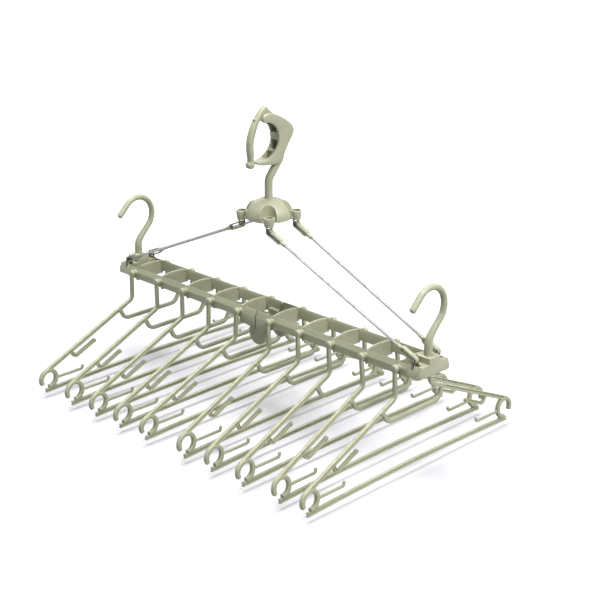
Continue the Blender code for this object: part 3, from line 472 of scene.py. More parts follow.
def box_outline(low, high, radius=0.0, steps=3):
    """A rectangle between two corners, with its corners rounded."""
    (a, b), (c, d) = low, high
    if radius <= 0.0:
        return [(a, b), (c, b), (c, d), (a, d)]
    points = arc((c - radius, b + radius), radius, -90, 0, steps)
    points += arc((c - radius, d - radius), radius, 0, 90, steps)
    points += arc((a + radius, d - radius), radius, 90, 180, steps)
    return points + arc((a + radius, b + radius), radius, 180, 270, steps)


def oval(width, thickness, count=16, squareness=2.6):
    """A rounded section, between an ellipse (ROUND) and a rectangle (a high squareness)."""
    power = 2.0 / squareness
    return [(width / 2 * math.copysign(abs(c) ** power, c),
             thickness / 2 * math.copysign(abs(s) ** power, s)) for c, s in circle(count, 0.5)]


def grooved(width, thickness, flange, web):
    """An I-shaped section with small chamfers: two flanges and a thinner web."""
    w, t, c = width / 2, thickness / 2, flange * CHAMFER_SHARE
    quarter = [(w, t - c * 1.2), (w - c, t), (w - flange + c, t), (w - flange, t - c),
               (w - flange - c, web / 2 + c * 0.5), (w - flange - c * 2, web / 2)]
    left_top = [(-u, v) for u, v in reversed(quarter)]
    left_low = [(-u, -v) for u, v in quarter]
    right_low = [(u, -v) for u, v in reversed(quarter)]
    return quarter + left_top + left_low + right_low


print("sections: oval of", len(oval(1, 1)), "points, grooved of", len(grooved(1, 1, 0.2, 0.2)))

# %% Solids
X_AXIS = Vector((1.0, 0.0, 0.0))
WELD_DISTANCE = 0.000002
END_STEP_DEG = 28
TIGHTEST_MITRE = 0.6
# The planes of flat outlines: across X as (y, z), across Y as (x, z), across Z as (x, y)
PLANES = {
    "x": Matrix(((0, 0, 1, 0), (1, 0, 0, 0), (0, 1, 0, 0), (0, 0, 0, 1))),
    "y": Matrix(((1, 0, 0, 0), (0, 0, -1, 0), (0, 1, 0, 0), (0, 0, 0, 1))),
    "z": Matrix.Identity(4),
}


def store(shape, mesh):
    """Points a bmesh's faces outwards, keeps them in a mesh and frees the bmesh."""
    bmesh.ops.recalc_face_normals(shape, faces=shape.faces)
    shape.to_mesh(mesh)
    shape.free()


def applied(item):
    """Turns a curve, or a mesh with modifiers, into a plain mesh object in world metres."""
    bpy.context.view_layer.update()
    ready = item.evaluated_get(bpy.context.evaluated_depsgraph_get())
    mesh = bpy.data.meshes.new_from_object(ready)
    mesh.transform(item.matrix_world)
    name = item.name
    bpy.data.objects.remove(item, do_unlink=True)
    shape = bmesh.new()
    shape.from_mesh(mesh)
    bmesh.ops.remove_doubles(shape, verts=shape.verts, dist=WELD_DISTANCE)
    store(shape, mesh)
    return new_object(name, mesh)


def skin_rings(name, rings, looped=False):
    """A closed mesh over rings of points: sides between the rings, and a face on each end."""
    shape = bmesh.new()
    rows = [[shape.verts.new(point) for point in ring] for ring in rings]
    count = len(rows[0])
    pairs = list(zip(rows, rows[1:])) + ([(rows[-1], rows[0])] if looped else [])
    for low, high in pairs:
        for k in range(count):
            after = (k + 1) % count
            shape.faces.new((low[k], low[after], high[after], high[k]))
    if not looped:
        shape.faces.new(rows[0])
        shape.faces.new(rows[-1])
    mesh = bpy.data.meshes.new(name)
    store(shape, mesh)
    return new_object(name, mesh)


def rounded_end(ring, place, inside, reach):
    """Three shrinking rings that round off the end of a bar."""
    outwards = (place - inside).normalized()
    rings = []
    for step in (1, 2, 3):
        angle = math.radians(END_STEP_DEG * step)
        centre = place + outwards * (reach * math.sin(angle))
        rings.append([centre + (corner - place) * math.cos(angle) for corner in ring])
    return rings


def sweep(name, points, section, across=X_AXIS, ends=(0.0, 0.0), sizes=None):
    """A bar whose section follows points.

    The section is a list of (in-plane, across) offsets. ends are the lengths of the rounded ends,
    and sizes are factors for the section at each point."""
    points = [Vector(point) for point in points]
    last = len(points) - 1
    rings = []
    for index, point in enumerate(points):
        before, after = points[max(index - 1, 0)], points[min(index + 1, last)]
        come = (point - before).normalized() if before != point else (after - point).normalized()
        leave = (after - point).normalized() if after != point else come
        along = (come + leave).normalized()
        normal = across.cross(along).normalized()
        mitre = 1.0 / max(TIGHTEST_MITRE, come.dot(along))
        size = sizes[index] if sizes else 1.0
        rings.append([point + normal * (u * mitre * size) + across * (v * size) for u, v in section])
    if ends[0] > 0.0:
        rings = rounded_end(rings[0], points[0], points[1], ends[0])[::-1] + rings
    if ends[1] > 0.0:
        rings += rounded_end(rings[-1], points[-1], points[-2], ends[1])
    return skin_rings(name, rings)


def slab(name, axis, middle, outline, thickness, edge=EDGE, holes=()):
    """A flat plate across an axis, with rounded edges and maybe holes."""
    curve = bpy.data.curves.new(name, "CURVE")
    curve.dimensions = "2D"
    curve.fill_mode = "BOTH"
    curve.extrude = thickness / 2 - edge
    curve.bevel_depth = edge
    curve.bevel_resolution = 1
    curve.offset = -edge
    for line in (outline, *holes):
        spline = curve.splines.new("POLY")
        spline.points.add(len(line) - 1)
        for index, point in enumerate(line):
            spline.points[index].co = (point[0], point[1], 0.0, 1.0)
        spline.use_cyclic_u = True
    item = new_object(name, curve)
    place = [0, 0, 0]
    place["xyz".index(axis)] = middle
    item.matrix_world = Matrix.Translation(place) @ PLANES[axis]
    return applied(item)


def lathe(name, profile, height, steps=48):
    """A solid turned about the upright axis from a closed profile of (radius, z)."""
    rings = []
    for c, s in circle(steps):
        rings.append([(r * c, r * s, height + z) for r, z in profile])
    return skin_rings(name, rings, True)


def drum(name, axis, first, last, place, radius, edge=EDGE, sides=24, end_radius=None):
    """A round bar with rounded edges along "x", "y" or "z", at a place on the other two axes."""
    start, end = list(place), list(place)
    start.insert("xyz".index(axis), first)
    end.insert("xyz".index(axis), last)
    start = Vector(start)
    length = (Vector(end) - start).length
    along = (Vector(end) - start).normalized()
    across = along.orthogonal().normalized()
    other = along.cross(across)
    far = radius if end_radius is None else end_radius
    stations = [(0.0, radius - edge), (edge * 0.3, radius - edge * 0.3), (edge, radius),
                (length - edge, far), (length - edge * 0.3, far - edge * 0.3), (length, far - edge)]
    rings = []
    for reach, size in stations:
        rings.append([start + along * reach + (across * c + other * s) * size for c, s in circle(sides)])
    return skin_rings(name, rings)


print("solids: sweep, slab, lathe and drum")

# %% Joining, cutting and showing
# A cutter's bevel, and how far it reaches past the surface that it cuts
SHARP, PAST = 0.0001, 0.002
SHARP_ANGLE = math.radians(38)


def boolean(item, others, operation):
    """Joins or cuts with other pieces in one step; the others are used up."""
    group = bpy.data.collections.new("tools")
    scene.collection.children.link(group)
    for other in others:
        scene.collection.objects.unlink(other)
        group.objects.link(other)
    step = item.modifiers.new("combine", "BOOLEAN")
    step.operation = operation
    step.solver = "EXACT"
    step.operand_type = "COLLECTION"
    step.collection = group
    result = applied(item)
    for other in others:
        bpy.data.objects.remove(other, do_unlink=True)
    bpy.data.collections.remove(group)
    return result


def fused(item, *others):
    """One skin around all the pieces."""
    return boolean(item, others, "UNION")


def pierced(item, *others):
    """The first piece with the others cut out of it."""
    return boolean(item, others, "DIFFERENCE")


def show(item, name, material, *nodes):
    """Names a finished piece, gives it its finish, and puts it on the body of its nodes."""
    item.name = name
    item.data.name = name
    item.data.materials.clear()
    item.data.materials.append(material)
    item.data.shade_smooth()
    item.data.set_sharp_from_angle(angle=SHARP_ANGLE)
    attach(item, BODY_OF[nodes[0]])
    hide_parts(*nodes)
    return item


print("edges stay sharp above", round(math.degrees(SHARP_ANGLE)), "degrees")

# %% [markdown]
# ## The ten hanging bars
#
# Each bar is one moulding: two legs with a pivot pin, two straight sloping shoulders, a U-shaped bar
# between them, an open ring at each tip, a bottom bar, and a small clip bar and strap hook on each
# side. The shoulders and the bottom bar have a groove on both faces, which shows in the photograph as
# a light, a dark and a light line. The legs and the U-bar are plain and rounded.
#
# All ten are the same part, so one mesh is made and ten objects share it. Each hangs at a slightly
# different angle, as they do in the photograph.

# %% The lines of a hanging bar
BEAM_Z = -0.240
FIT_GAP = 0.0003
LEG_Y, LEG_DROP = 0.034, 0.0424
SHOULDER_START_Y = 0.050
TIP_Y, TIP_DROP = 0.1937, 0.1136
SLOPE = (TIP_DROP - LEG_DROP) / (TIP_Y - LEG_Y)
STRAP_ROOT_Y, STRAP_OFFSET, STRAP_LENGTH, STRAP_BEND = 0.1475, 0.0131, 0.0390, 0.0055


def upright(path, x=0.0):
    """Points (y, z) as points in the plane across X."""
    return [(x, y, z) for y, z in path]


def shoulder_point(y):
    """A point on the straight shoulder, as (y, z) below the beam's datum."""
    return (y, -(LEG_DROP + (y - LEG_Y) * SLOPE))


def strap_path():
    """The hook under the shoulder: a short root, a bend, and an arm along the shoulder."""
    along = Vector((1.0, -SLOPE)).normalized()
    down = Vector((-SLOPE, -1.0)).normalized()
    root = Vector(shoulder_point(STRAP_ROOT_Y))
    corner = root + down * STRAP_OFFSET
    return rounded([root, corner, corner - along * STRAP_LENGTH], STRAP_BEND, 6)


print("shoulders slope", round(math.degrees(math.atan(SLOPE)), 1), "degrees")

# %% One side of a hanging bar
BAR_WIDTH, BAR_THICKNESS, BAR_FLANGE, BAR_WEB = 0.0056, 0.0047, 0.0013, 0.0015
BAR_SQUARENESS, RING_SQUARENESS, CLIP_SQUARENESS = 5.0, 4.0, 3.5
LEG_BEND, LEG_FOOT_Y, HEAD_RADIUS, HEAD_EDGE = 0.009, 0.062, 0.0047, 0.0007
RING_Y, RING_DROP, RING_RADIUS, RING_BAR, RING_TIP = 0.1884, 0.1252, 0.0128, 0.0060, 0.0016
RING_START_DEG, RING_END_DEG = -25.0, 270.0
CLIP_END_Y, CLIP_DROP, CLIP_WIDTH, CLIP_TIP_RISE, CLIP_TIP = 0.1300, 0.1270, 0.0038, 0.0050, 0.0010
STRAP_WIDTH, STRAP_FLANGE, STRAP_WEB, STRAP_KNOB = 0.0044, 0.0011, 0.0018, 0.0028
PIVOT_DROP, PIN_RADIUS = 0.0028, 0.0020
# Shares of the named sizes: wider shoulders and straps, a thicker crossbar and bottom bar
SHOULDER_SHARE, CROSSBAR_SHARE, BOTTOM_SHARE, STRAP_SHARE = 1.07, 1.04, 1.02, 1.08
RAIL_OUTER_Y, RAIL_THICKNESS = 0.0276, 0.0050


def bar_side(side):
    """The leg, shoulder, ring, clip bar, strap hook and pivot of one side."""
    corners = [(LEG_Y, -PIVOT_DROP), (LEG_Y, -LEG_DROP), shoulder_point(LEG_FOOT_Y)]
    leg = rounded(corners, LEG_BEND, 7)
    shoulder = [shoulder_point(SHOULDER_START_Y), (TIP_Y, -TIP_DROP)]
    ring = arc((RING_Y, -RING_DROP), RING_RADIUS, RING_START_DEG, RING_END_DEG, 30)
    clip = rounded([(RING_Y - RING_RADIUS, -CLIP_DROP), (CLIP_END_Y, -CLIP_DROP),
                    (CLIP_END_Y - CLIP_WIDTH / 2, CLIP_TIP_RISE - CLIP_DROP)], CLIP_WIDTH * 0.7, 5)
    strap = strap_path()
    shapes = (
        ("leg", leg, oval(BAR_WIDTH, BAR_THICKNESS, 20, BAR_SQUARENESS), (0.0, 0.0)),
        ("shoulder", shoulder, grooved(BAR_WIDTH * SHOULDER_SHARE, BAR_THICKNESS, BAR_FLANGE, BAR_WEB),
         (0.0, 0.0)),
        ("ring", ring, oval(RING_BAR, RING_BAR, 20, RING_SQUARENESS), (RING_TIP, 0.0)),
        ("clip", clip, oval(CLIP_WIDTH, CLIP_WIDTH * 0.9, 12, CLIP_SQUARENESS), (0.0, CLIP_TIP)),
        ("strap", strap, grooved(STRAP_WIDTH * STRAP_SHARE, STRAP_WIDTH, STRAP_FLANGE, STRAP_WEB),
         (0.0, 0.0)),
    )
    bars = []
    for name, path, section, ends in shapes:
        bars.append(sweep(name, upright([(side * y, z) for y, z in path]), section, X_AXIS, ends))
    tip_y, tip_z = strap[-1]
    half = STRAP_WIDTH / 2
    bars.append(drum("knob", "x", -half, half, (side * tip_y, tip_z), STRAP_KNOB))
    half = BAR_WIDTH / 2
    pivot = (0, -PIVOT_DROP)
    bars.append(drum("head", "y", side * (LEG_Y - half), side * (LEG_Y + half), pivot,
                     HEAD_RADIUS, HEAD_EDGE))
    pin_end = RAIL_OUTER_Y - RAIL_THICKNESS + FIT_GAP * 3
    bars.append(drum("pin", "y", side * pin_end, side * LEG_Y, pivot, PIN_RADIUS))
    return bars


print("a ring opens", round(RING_RADIUS * 2 - RING_BAR, 4), "m")

# %% The whole bar, and its ten copies
BAR_COUNT, BAR_PITCH, MIDDLE_EXTRA = 10, 0.0564, 0.0057
SWINGS_DEG = (-2.3, -0.1, -0.9, -2.4, -3.2, 3.3, 1.8, 2.4, 5.9, 2.1)
CROSSBAR_REACH, CROSSBAR_RADIUS, CROSSBAR_WIDTH = 0.0235, 0.0130, 0.0056
CROSSBAR_INSET, CROSSBAR_DEPTH = 0.0085, 0.0171
PRONG_Y, PRONG_DROP, BOTTOM_BAR_BOW, BOTTOM_BAR_LIFT = 0.1938, 0.1430, 0.0042, 0.0004


def hanging_bar():
    """One whole bar, with its pivots at the origin."""
    join_y, join_z = shoulder_point(LEG_Y + CROSSBAR_REACH)
    corner_y, corner_z = join_y - CROSSBAR_INSET, join_z - CROSSBAR_DEPTH
    corners = [(-join_y, join_z), (-corner_y, corner_z), (corner_y, corner_z), (join_y, join_z)]
    crossbar = upright(rounded(corners, CROSSBAR_RADIUS, 8))
    thickness = BAR_THICKNESS * CROSSBAR_SHARE
    body = sweep("crossbar", crossbar, oval(CROSSBAR_WIDTH, thickness, 20, BAR_SQUARENESS))
    bow = upright(bowed(PRONG_Y, BOTTOM_BAR_LIFT - PRONG_DROP, BOTTOM_BAR_BOW, 20))
    thickness = BAR_THICKNESS * BOTTOM_SHARE
    bottom = sweep("bottom", bow, grooved(BAR_WIDTH, thickness, BAR_FLANGE, BAR_WEB))
    bar = fused(body, *bar_side(1), *bar_side(-1), bottom)
    bar.data.transform(Matrix.Translation((0, 0, PIVOT_DROP)))
    return bar


def station(index):
    """Where a hanging bar sits along the beam."""
    middle = (BAR_COUNT - 1) / 2
    side = 1 if index > middle else -1
    return (index - middle) * BAR_PITCH + side * MIDDLE_EXTRA / 2


first_bar = hanging_bar()
bar_mesh = first_bar.data
bpy.data.objects.remove(first_bar, do_unlink=True)
for index in range(BAR_COUNT):
    item = new_object("bar", bar_mesh)
    item.location = (station(index), 0.0, BEAM_Z - PIVOT_DROP)
    item.rotation_euler = (0.0, -math.radians(SWINGS_DEG[index]), 0.0)
    show(item, f"hanging_bar_{index + 1:02d}", SAGE, f"hanger_{index + 1:02d}")
print("hanging bar:", len(bar_mesh.polygons), "faces, shared by", BAR_COUNT)

# %% [markdown]
# ## The folding beam
#
# The beam is two ladder-shaped halves, joined in the middle by a pin below them, so that it folds
# like an umbrella. Each half has two rails with a sloping outer top, a cross wall at each bar with a
# small hole in each upper corner, a round boss with a drop-shaped foot for each pivot, a deep end
# block with a raised socket, and at the middle a skirt and two round lugs. They are drawn as slabs,
# because each is a flat moulded wall with softened edges.

# %% Rails, walls and bosses
RAIL_TOP, RAIL_BOTTOM, RAIL_SHOULDER_Z, RAIL_CREST = 0.0040, -0.0120, -0.0030, 0.0017
RAIL_BEVEL, RAIL_BEVEL_Z = 0.0014, 0.0006
RAIL_MIDDLE_Y = RAIL_OUTER_Y - RAIL_THICKNESS / 2
WALL_THICKNESS, WALL_TOP, WALL_ARCH, WALL_BOTTOM = 0.0026, 0.0030, 0.0033, -0.0158
BOSS_RADIUS, BOSS_FACE_Y = 0.0034, 0.0309
DROP_RADIUS, DROP_TIP, DROP_THICKNESS, DROP_ARC_DEG = 0.0042, -0.0072, 0.0032, (-28.0, 208.0)


def raised(outline):
    """Heights above the beam's datum as world heights."""
    return [(along, height + BEAM_Z) for along, height in outline]


def rail(side, start, end):
    """One rail, with its sloping outer top."""
    outer, inner = RAIL_OUTER_Y, RAIL_OUTER_Y - RAIL_THICKNESS
    outline = [(outer, RAIL_BOTTOM), (outer, RAIL_SHOULDER_Z), (inner + RAIL_CREST, RAIL_TOP),
               (inner + RAIL_BEVEL, RAIL_TOP), (inner, RAIL_BEVEL_Z), (inner, RAIL_BOTTOM)]
    if side < 0:
        outline = [(-y, z) for y, z in reversed(outline)]
    return slab("rail", "x", (start + end) / 2, raised(outline), abs(end - start))


def cross_wall(x):
    """A wall between the rails, with an arched top."""
    outline = [(-RAIL_MIDDLE_Y, WALL_BOTTOM), (RAIL_MIDDLE_Y, WALL_BOTTOM)]
    outline += bowed(-RAIL_MIDDLE_Y, WALL_TOP, WALL_ARCH, 16)
    return slab("wall", "x", x, raised(outline), WALL_THICKNESS)


def pivot_boss(x, side_y):
    """The round boss that a bar's pin turns in, and its drop-shaped foot."""
    z = BEAM_Z - PIVOT_DROP
    boss = drum("boss", "y", side_y * RAIL_MIDDLE_Y, side_y * BOSS_FACE_Y, (x, z), BOSS_RADIUS, EDGE, 16)
    drop = arc((0.0, 0.0), DROP_RADIUS, *DROP_ARC_DEG, 12) + [(0.0, DROP_TIP)]
    outline = [(x + u, z + v) for u, v in drop]
    return [boss, slab("drop", "y", side_y * RAIL_OUTER_Y, outline, DROP_THICKNESS)]


print("a rail is", round(RAIL_TOP - RAIL_BOTTOM, 4), "m high")

# %% The lugs and skirts at the middle
PARTING = 0.0012
FOLD_PIN_Z, FOLD_LUG_RADIUS, FOLD_PIN_RADIUS, PIN_COVER = -0.0300, 0.0155, 0.0028, 0.0012
LUG_PLATE, LUG_OUTER_Y, LUG_REACH, LUG_ARC_DEG = 0.0036, 0.0246, 0.0205, (94.0, 340.0)
SKIRT_THICKNESS, SKIRT_TOP = 0.0032, -0.0035
LEFT_REACH, LEFT_BOTTOM, LEFT_DROP_SHARE = 0.0300, -0.0190, 0.11
RIGHT_REACH, RIGHT_BOTTOM = 0.0212, -0.0155
TONGUE_X, TONGUE_BOTTOM = 0.0110, -0.0285


def skirt(side_x, side_y):
    """The deep plate beside the parting line."""
    if side_x < 0:
        corner = LEFT_BOTTOM * (1 + LEFT_DROP_SHARE)
        outline = [(PARTING, corner), (LEFT_REACH, LEFT_BOTTOM), (LEFT_REACH, SKIRT_TOP)]
    else:
        outline = [(PARTING, LEFT_BOTTOM), (TONGUE_X, TONGUE_BOTTOM), (RIGHT_REACH, RIGHT_BOTTOM),
                   (RIGHT_REACH, SKIRT_TOP)]
    outline.insert(0, (PARTING, SKIRT_TOP))
    outline = raised([(side_x * x, z) for x, z in outline])
    middle = side_y * (LUG_OUTER_Y + FIT_GAP + SKIRT_THICKNESS / 2)
    return slab("skirt", "y", middle, outline, SKIRT_THICKNESS)


def knuckle_lug(side_x, side_y, outer):
    """A round lug for the beam's middle pin."""
    near, low, high = PARTING * 2, RAIL_BOTTOM, RAIL_BOTTOM + WALL_THICKNESS
    outline = arc((0.0, FOLD_PIN_Z), FOLD_LUG_RADIUS, *LUG_ARC_DEG, 28)
    outline += [(LUG_REACH, low), (LUG_REACH, high), (near, high), (near, low)]
    outline = raised([(side_x * x, z) for x, z in outline])
    return slab("lug", "y", side_y * (outer - LUG_PLATE / 2), outline, LUG_PLATE)


def lug_bed(side, side_y):
    """A floor that ties a lug to its rail."""
    along = sorted((side * PARTING * 2.5, side * LUG_REACH * 0.97))
    across = sorted((side_y * (LUG_OUTER_Y - LUG_PLATE * 2.5), side_y * RAIL_MIDDLE_Y))
    outline = box_outline((along[0], across[0]), (along[1], across[1]))
    return slab("bed", "z", BEAM_Z + RAIL_BOTTOM + WALL_THICKNESS, outline, WALL_THICKNESS)


print("the halves part", PARTING * 2, "m apart")

# %% The end blocks
BLOCK_START, BLOCK_END, BLOCK_HALF = 0.2700, 0.2925, 0.0282
BLOCK_TOP, BLOCK_BOTTOM, BLOCK_SLOPE, BLOCK_EDGE = 0.0049, -0.0104, 0.0036, 0.0008
SOCKET_HALF, SOCKET_TOP = 0.0105, 0.0130
BEAM_BAR_X, BEAM_BAR_Y, BEAM_BAR_Z = 0.2780, 0.0210, 0.0111
STAPLE_WIRE, STAPLE_SPAN, STAPLE_DEPTH = 0.0013, 0.0094, 0.0070
POCKET_LOW, POCKET_HIGH, POCKET_HALF = -0.0055, 0.0080, 0.0032
POCKET_DEPTH, POCKET_CORNER = 0.0042, 0.0015


def end_block(side):
    """The block at the end of a half, with sloping top edges and a raised socket for the hook."""
    half = [(BLOCK_HALF, BLOCK_BOTTOM), (BLOCK_HALF, RAIL_SHOULDER_Z),
            (BLOCK_HALF - BLOCK_SLOPE, BLOCK_TOP), (SOCKET_HALF, BLOCK_TOP), (SOCKET_HALF, SOCKET_TOP)]
    outline = raised(half + [(-y, z) for y, z in reversed(half)])
    middle = side * (BLOCK_START + BLOCK_END) / 2
    return slab("end", "x", middle, outline, BLOCK_END - BLOCK_START, BLOCK_EDGE)


def link_pocket(side, side_y):
    """A cutter for the hollow under the link's end, between the staple's legs."""
    low, high = sorted((side * (BEAM_BAR_X + POCKET_LOW), side * (BEAM_BAR_X + POCKET_HIGH)))
    y, half = side_y * BEAM_BAR_Y, POCKET_HALF
    outline = box_outline((low, y - half), (high, y + half), POCKET_CORNER)
    middle = BEAM_Z + BLOCK_TOP - POCKET_DEPTH / 2 + PAST / 4
    return slab("pocket", "z", middle, outline, POCKET_DEPTH + PAST / 2)


def staple_holes(x, y, low, high):
    """Cutters for the two legs of a wire staple."""
    places = [(x, y + leg * STAPLE_SPAN / 2) for leg in (-1, 1)]
    return [drum("hole", "z", low, high, place, STAPLE_WIRE + FIT_GAP, SHARP, 12) for place in places]


print("an end block is", round(BLOCK_END - BLOCK_START, 4), "m long")

# %% The two halves
HOOK_X = 0.2810
SPIGOT_RADIUS, CAP_RADIUS, CAP_HEIGHT = 0.0034, 0.0058, 0.0030
SPOT_RADIUS, SPOT_Y, SPOT_RISE = 0.0015, 0.0203, 0.0012


def half_cutters(side, spots):
    """Cutters for the pockets and holes of one half."""
    top, bottom, socket_top = BEAM_Z + BLOCK_TOP, BEAM_Z + BLOCK_BOTTOM, BEAM_Z + SOCKET_TOP
    cutters = []
    for side_y in (-1, 1):
        cutters.append(link_pocket(side, side_y))
        x, y = side * BEAM_BAR_X, side_y * BEAM_BAR_Y
        cutters += staple_holes(x, y, top - STAPLE_DEPTH - FIT_GAP, top + PAST)
    for spot in spots:
        ends = (spot - WALL_THICKNESS, spot + WALL_THICKNESS)
        for side_y in (-1, 1):
            place = (side_y * SPOT_Y, BEAM_Z + SPOT_RISE)
            cutters.append(drum("spot", "x", *ends, place, SPOT_RADIUS, SHARP, 12))
    place = (side * HOOK_X, 0)
    front = -LUG_OUTER_Y + PIN_COVER if side > 0 else -LUG_OUTER_Y
    for axis, first, last, place, radius in (
            ("z", bottom - PAST, socket_top + PAST, place, SPIGOT_RADIUS),
            ("z", bottom - PAST, bottom + CAP_HEIGHT + 2 * FIT_GAP, place, CAP_RADIUS),
            ("y", front, LUG_OUTER_Y + PAST, (0, BEAM_Z + FOLD_PIN_Z), FOLD_PIN_RADIUS)):
        cutters.append(drum("hole", axis, first, last, place, radius + FIT_GAP))
    return cutters


def beam_half(side):
    """One half of the beam as one moulding."""
    near, far = side * PARTING, side * (BLOCK_START + WALL_THICKNESS)
    spots = [station(k) for k in range(BAR_COUNT) if station(k) * side > 0]
    pieces = [rail(1, near, far), end_block(side)]
    for spot in spots:
        pieces.append(cross_wall(spot))
        for side_y in (-1, 1):
            pieces += pivot_boss(spot, side_y)
    lug_outer = LUG_OUTER_Y if side > 0 else LUG_OUTER_Y - LUG_PLATE - FIT_GAP
    for side_y in (-1, 1):
        pieces += [skirt(side, side_y), knuckle_lug(side, side_y, lug_outer), lug_bed(side, side_y)]
    return pierced(fused(rail(-1, near, far), *pieces), *half_cutters(side, spots))


for side, name in ((-1, "beam_left"), (1, "beam_right")):
    half = show(beam_half(side), f"{name}_half", SAGE, name)
    print(half.name, len(half.data.polygons), "faces")

# %% The pin below the middle
pin_front = -LUG_OUTER_Y + PIN_COVER + FIT_GAP
fold_pin = drum("pin", "y", pin_front, LUG_OUTER_Y, (0, BEAM_Z + FOLD_PIN_Z), FOLD_PIN_RADIUS)
show(fold_pin, "beam_fold_pin", STEEL_DARK, "beam_hinge_pin")
print("beam's pin:", round(LUG_OUTER_Y - pin_front, 4), "m long")

# %% [markdown]
# ## The hub
#
# The hub is a dome, open below, with a thick neck inside that the clamp's stem turns in. Four round
# cups stand out at its corners and taper a little towards the foot, each with two small holes in its
# floor for a wire staple. Above each cup the dome is hollowed, with a raised rim round the hollow. A
# lathe makes the dome, and a second, slightly larger dome keeps the rims within its own curve. The
# cups are drums, and the holes are cut last, in one step.

# %% The dome and its recesses
HUB_RIM_Z, HUB_RADIUS, HUB_HEIGHT, HUB_WALL, HUB_RIM_HEIGHT = 0.131, 0.032, 0.0270, 0.0026, 0.0030
NECK_RADIUS, NECK_DEPTH, STEM_RADIUS = 0.0088, 0.0120, 0.0056
RECESS_SPOT, RECESS_RADIUS, RECESS_WALL, RECESS_RIM = 0.0234, 0.0113, 0.0019, 0.0014
ROOM_EDGE, AXIS_RADIUS = 0.0005, 0.0005
DOME_TOP_DEG, INNER_TOP_DEG, SHELL_TOP_DEG = 80, 66, 84
CORNERS = {"front_left": (-1, -1), "back_left": (-1, 1), "front_right": (1, -1), "back_right": (1, 1)}
rim_z = BEAM_Z + HUB_RIM_Z


def plain_dome():
    """The dome with its neck."""
    inner = HUB_RADIUS - HUB_WALL
    rise, bore = HUB_HEIGHT - HUB_RIM_HEIGHT, STEM_RADIUS + FIT_GAP
    base = (0.0, HUB_RIM_HEIGHT)
    profile = [(bore, HUB_HEIGHT)] + arc(base, HUB_RADIUS, DOME_TOP_DEG, 0, 14, rise)
    profile += [(HUB_RADIUS, EDGE), (HUB_RADIUS - EDGE, 0.0), (inner + EDGE, 0.0), (inner, EDGE)]
    profile += arc(base, inner, 0, INNER_TOP_DEG, 8, rise - HUB_WALL)
    profile += [(NECK_RADIUS, HUB_HEIGHT - NECK_DEPTH), (bore, HUB_HEIGHT - NECK_DEPTH)]
    return lathe("dome", profile, rim_z, 64)


def recessed_dome():
    """The dome with an arched recess and its raised rim above each cup."""
    shell_radius = HUB_RADIUS + RECESS_RIM
    rise = HUB_HEIGHT - HUB_RIM_HEIGHT + RECESS_RIM
    profile = [(AXIS_RADIUS, EDGE), (shell_radius, EDGE)]
    profile += arc((0.0, HUB_RIM_HEIGHT), shell_radius, 0, SHELL_TOP_DEG, 14, rise)
    profile.append((AXIS_RADIUS, profile[-1][1]))
    shell = lathe("shell", profile, rim_z, 64)
    top = rim_z + HUB_HEIGHT * 1.2
    walls, rooms = [], []
    for side_x, side_y in CORNERS.values():
        place = (side_x * RECESS_SPOT, side_y * RECESS_SPOT)
        walls.append(drum("wall", "z", rim_z, top, place, RECESS_RADIUS + RECESS_WALL, EDGE, 48))
        rooms.append(drum("room", "z", rim_z + RECESS_WALL, top + PAST, place, RECESS_RADIUS,
                          ROOM_EDGE, 48))
    rims = boolean(fused(*walls), [shell], "INTERSECT")
    return pierced(fused(plain_dome(), rims), *rooms)


dome = recessed_dome()
print("dome:", len(dome.data.polygons), "faces")

# %% The cups
LUG_X, LUG_Y, LUG_RADIUS, LUG_FOOT_RADIUS, LUG_BORE = 0.0262, 0.0250, 0.0078, 0.0064, 0.0056
LUG_TOP, LUG_BOTTOM, LUG_FLOOR, LUG_EDGE = 0.1405, 0.1280, 0.0030, 0.0006
top, bottom = BEAM_Z + LUG_TOP, BEAM_Z + LUG_BOTTOM
cups, cutters = [], []
for side_x, side_y in CORNERS.values():
    x, y = side_x * LUG_X, side_y * LUG_Y
    cups.append(drum("cup", "z", bottom, top, (x, y), LUG_FOOT_RADIUS, LUG_EDGE, 32, LUG_RADIUS))
    cutters.append(drum("bore", "z", bottom + LUG_FLOOR, rim_z + HUB_HEIGHT, (x, y), LUG_BORE, EDGE, 32))
    cutters += staple_holes(x, y, bottom - PAST, top)
hub = show(pierced(fused(dome, *cups), *cutters), "hub_cap", SAGE, "hub_dome")
print("hub:", len(hub.data.polygons), "faces")

# %% [markdown]
# ## Staples, stays and their links
#
# A staple is a bent piece of round wire whose legs stand in the plastic. A stay is a straight steel
# wire with a slotted plastic eye moulded on each end, and each eye hangs on a staple. The eyes are
# slabs with a slot, and a tapered tail grips the wire.

# %% Staples
HUB_BAR_Z = 0.1210
STAPLE_TIP = 0.0004


def staple(x, y, bar_z, foot_z):
    """A wire staple with its bar along Y."""
    half, width = STAPLE_SPAN / 2, STAPLE_WIRE * 2
    path = rounded([(-half, foot_z), (-half, bar_z), (half, bar_z), (half, foot_z)], STAPLE_WIRE * 1.5, 6)
    points = [(x, y + along, z) for along, z in path]
    return sweep("staple", points, oval(width, width, 12, ROUND), X_AXIS, (STAPLE_TIP, STAPLE_TIP))


STAPLE_KINDS = (
    ("hub", LUG_X, LUG_Y, HUB_BAR_Z, LUG_BOTTOM + LUG_FLOOR + STAPLE_WIRE * 2),
    ("beam", BEAM_BAR_X, BEAM_BAR_Y, BEAM_BAR_Z, BLOCK_TOP - STAPLE_DEPTH),
)
for corner, (side_x, side_y) in CORNERS.items():
    for kind, x, y, bar_z, foot_z in STAPLE_KINDS:
        piece = staple(side_x * x, side_y * y, BEAM_Z + bar_z, BEAM_Z + foot_z)
        show(piece, f"{kind}_wire_staple_{corner}", STEEL_DARK, f"{kind}_staple_{corner}")
print("staples:", len(STAPLE_KINDS) * len(CORNERS))

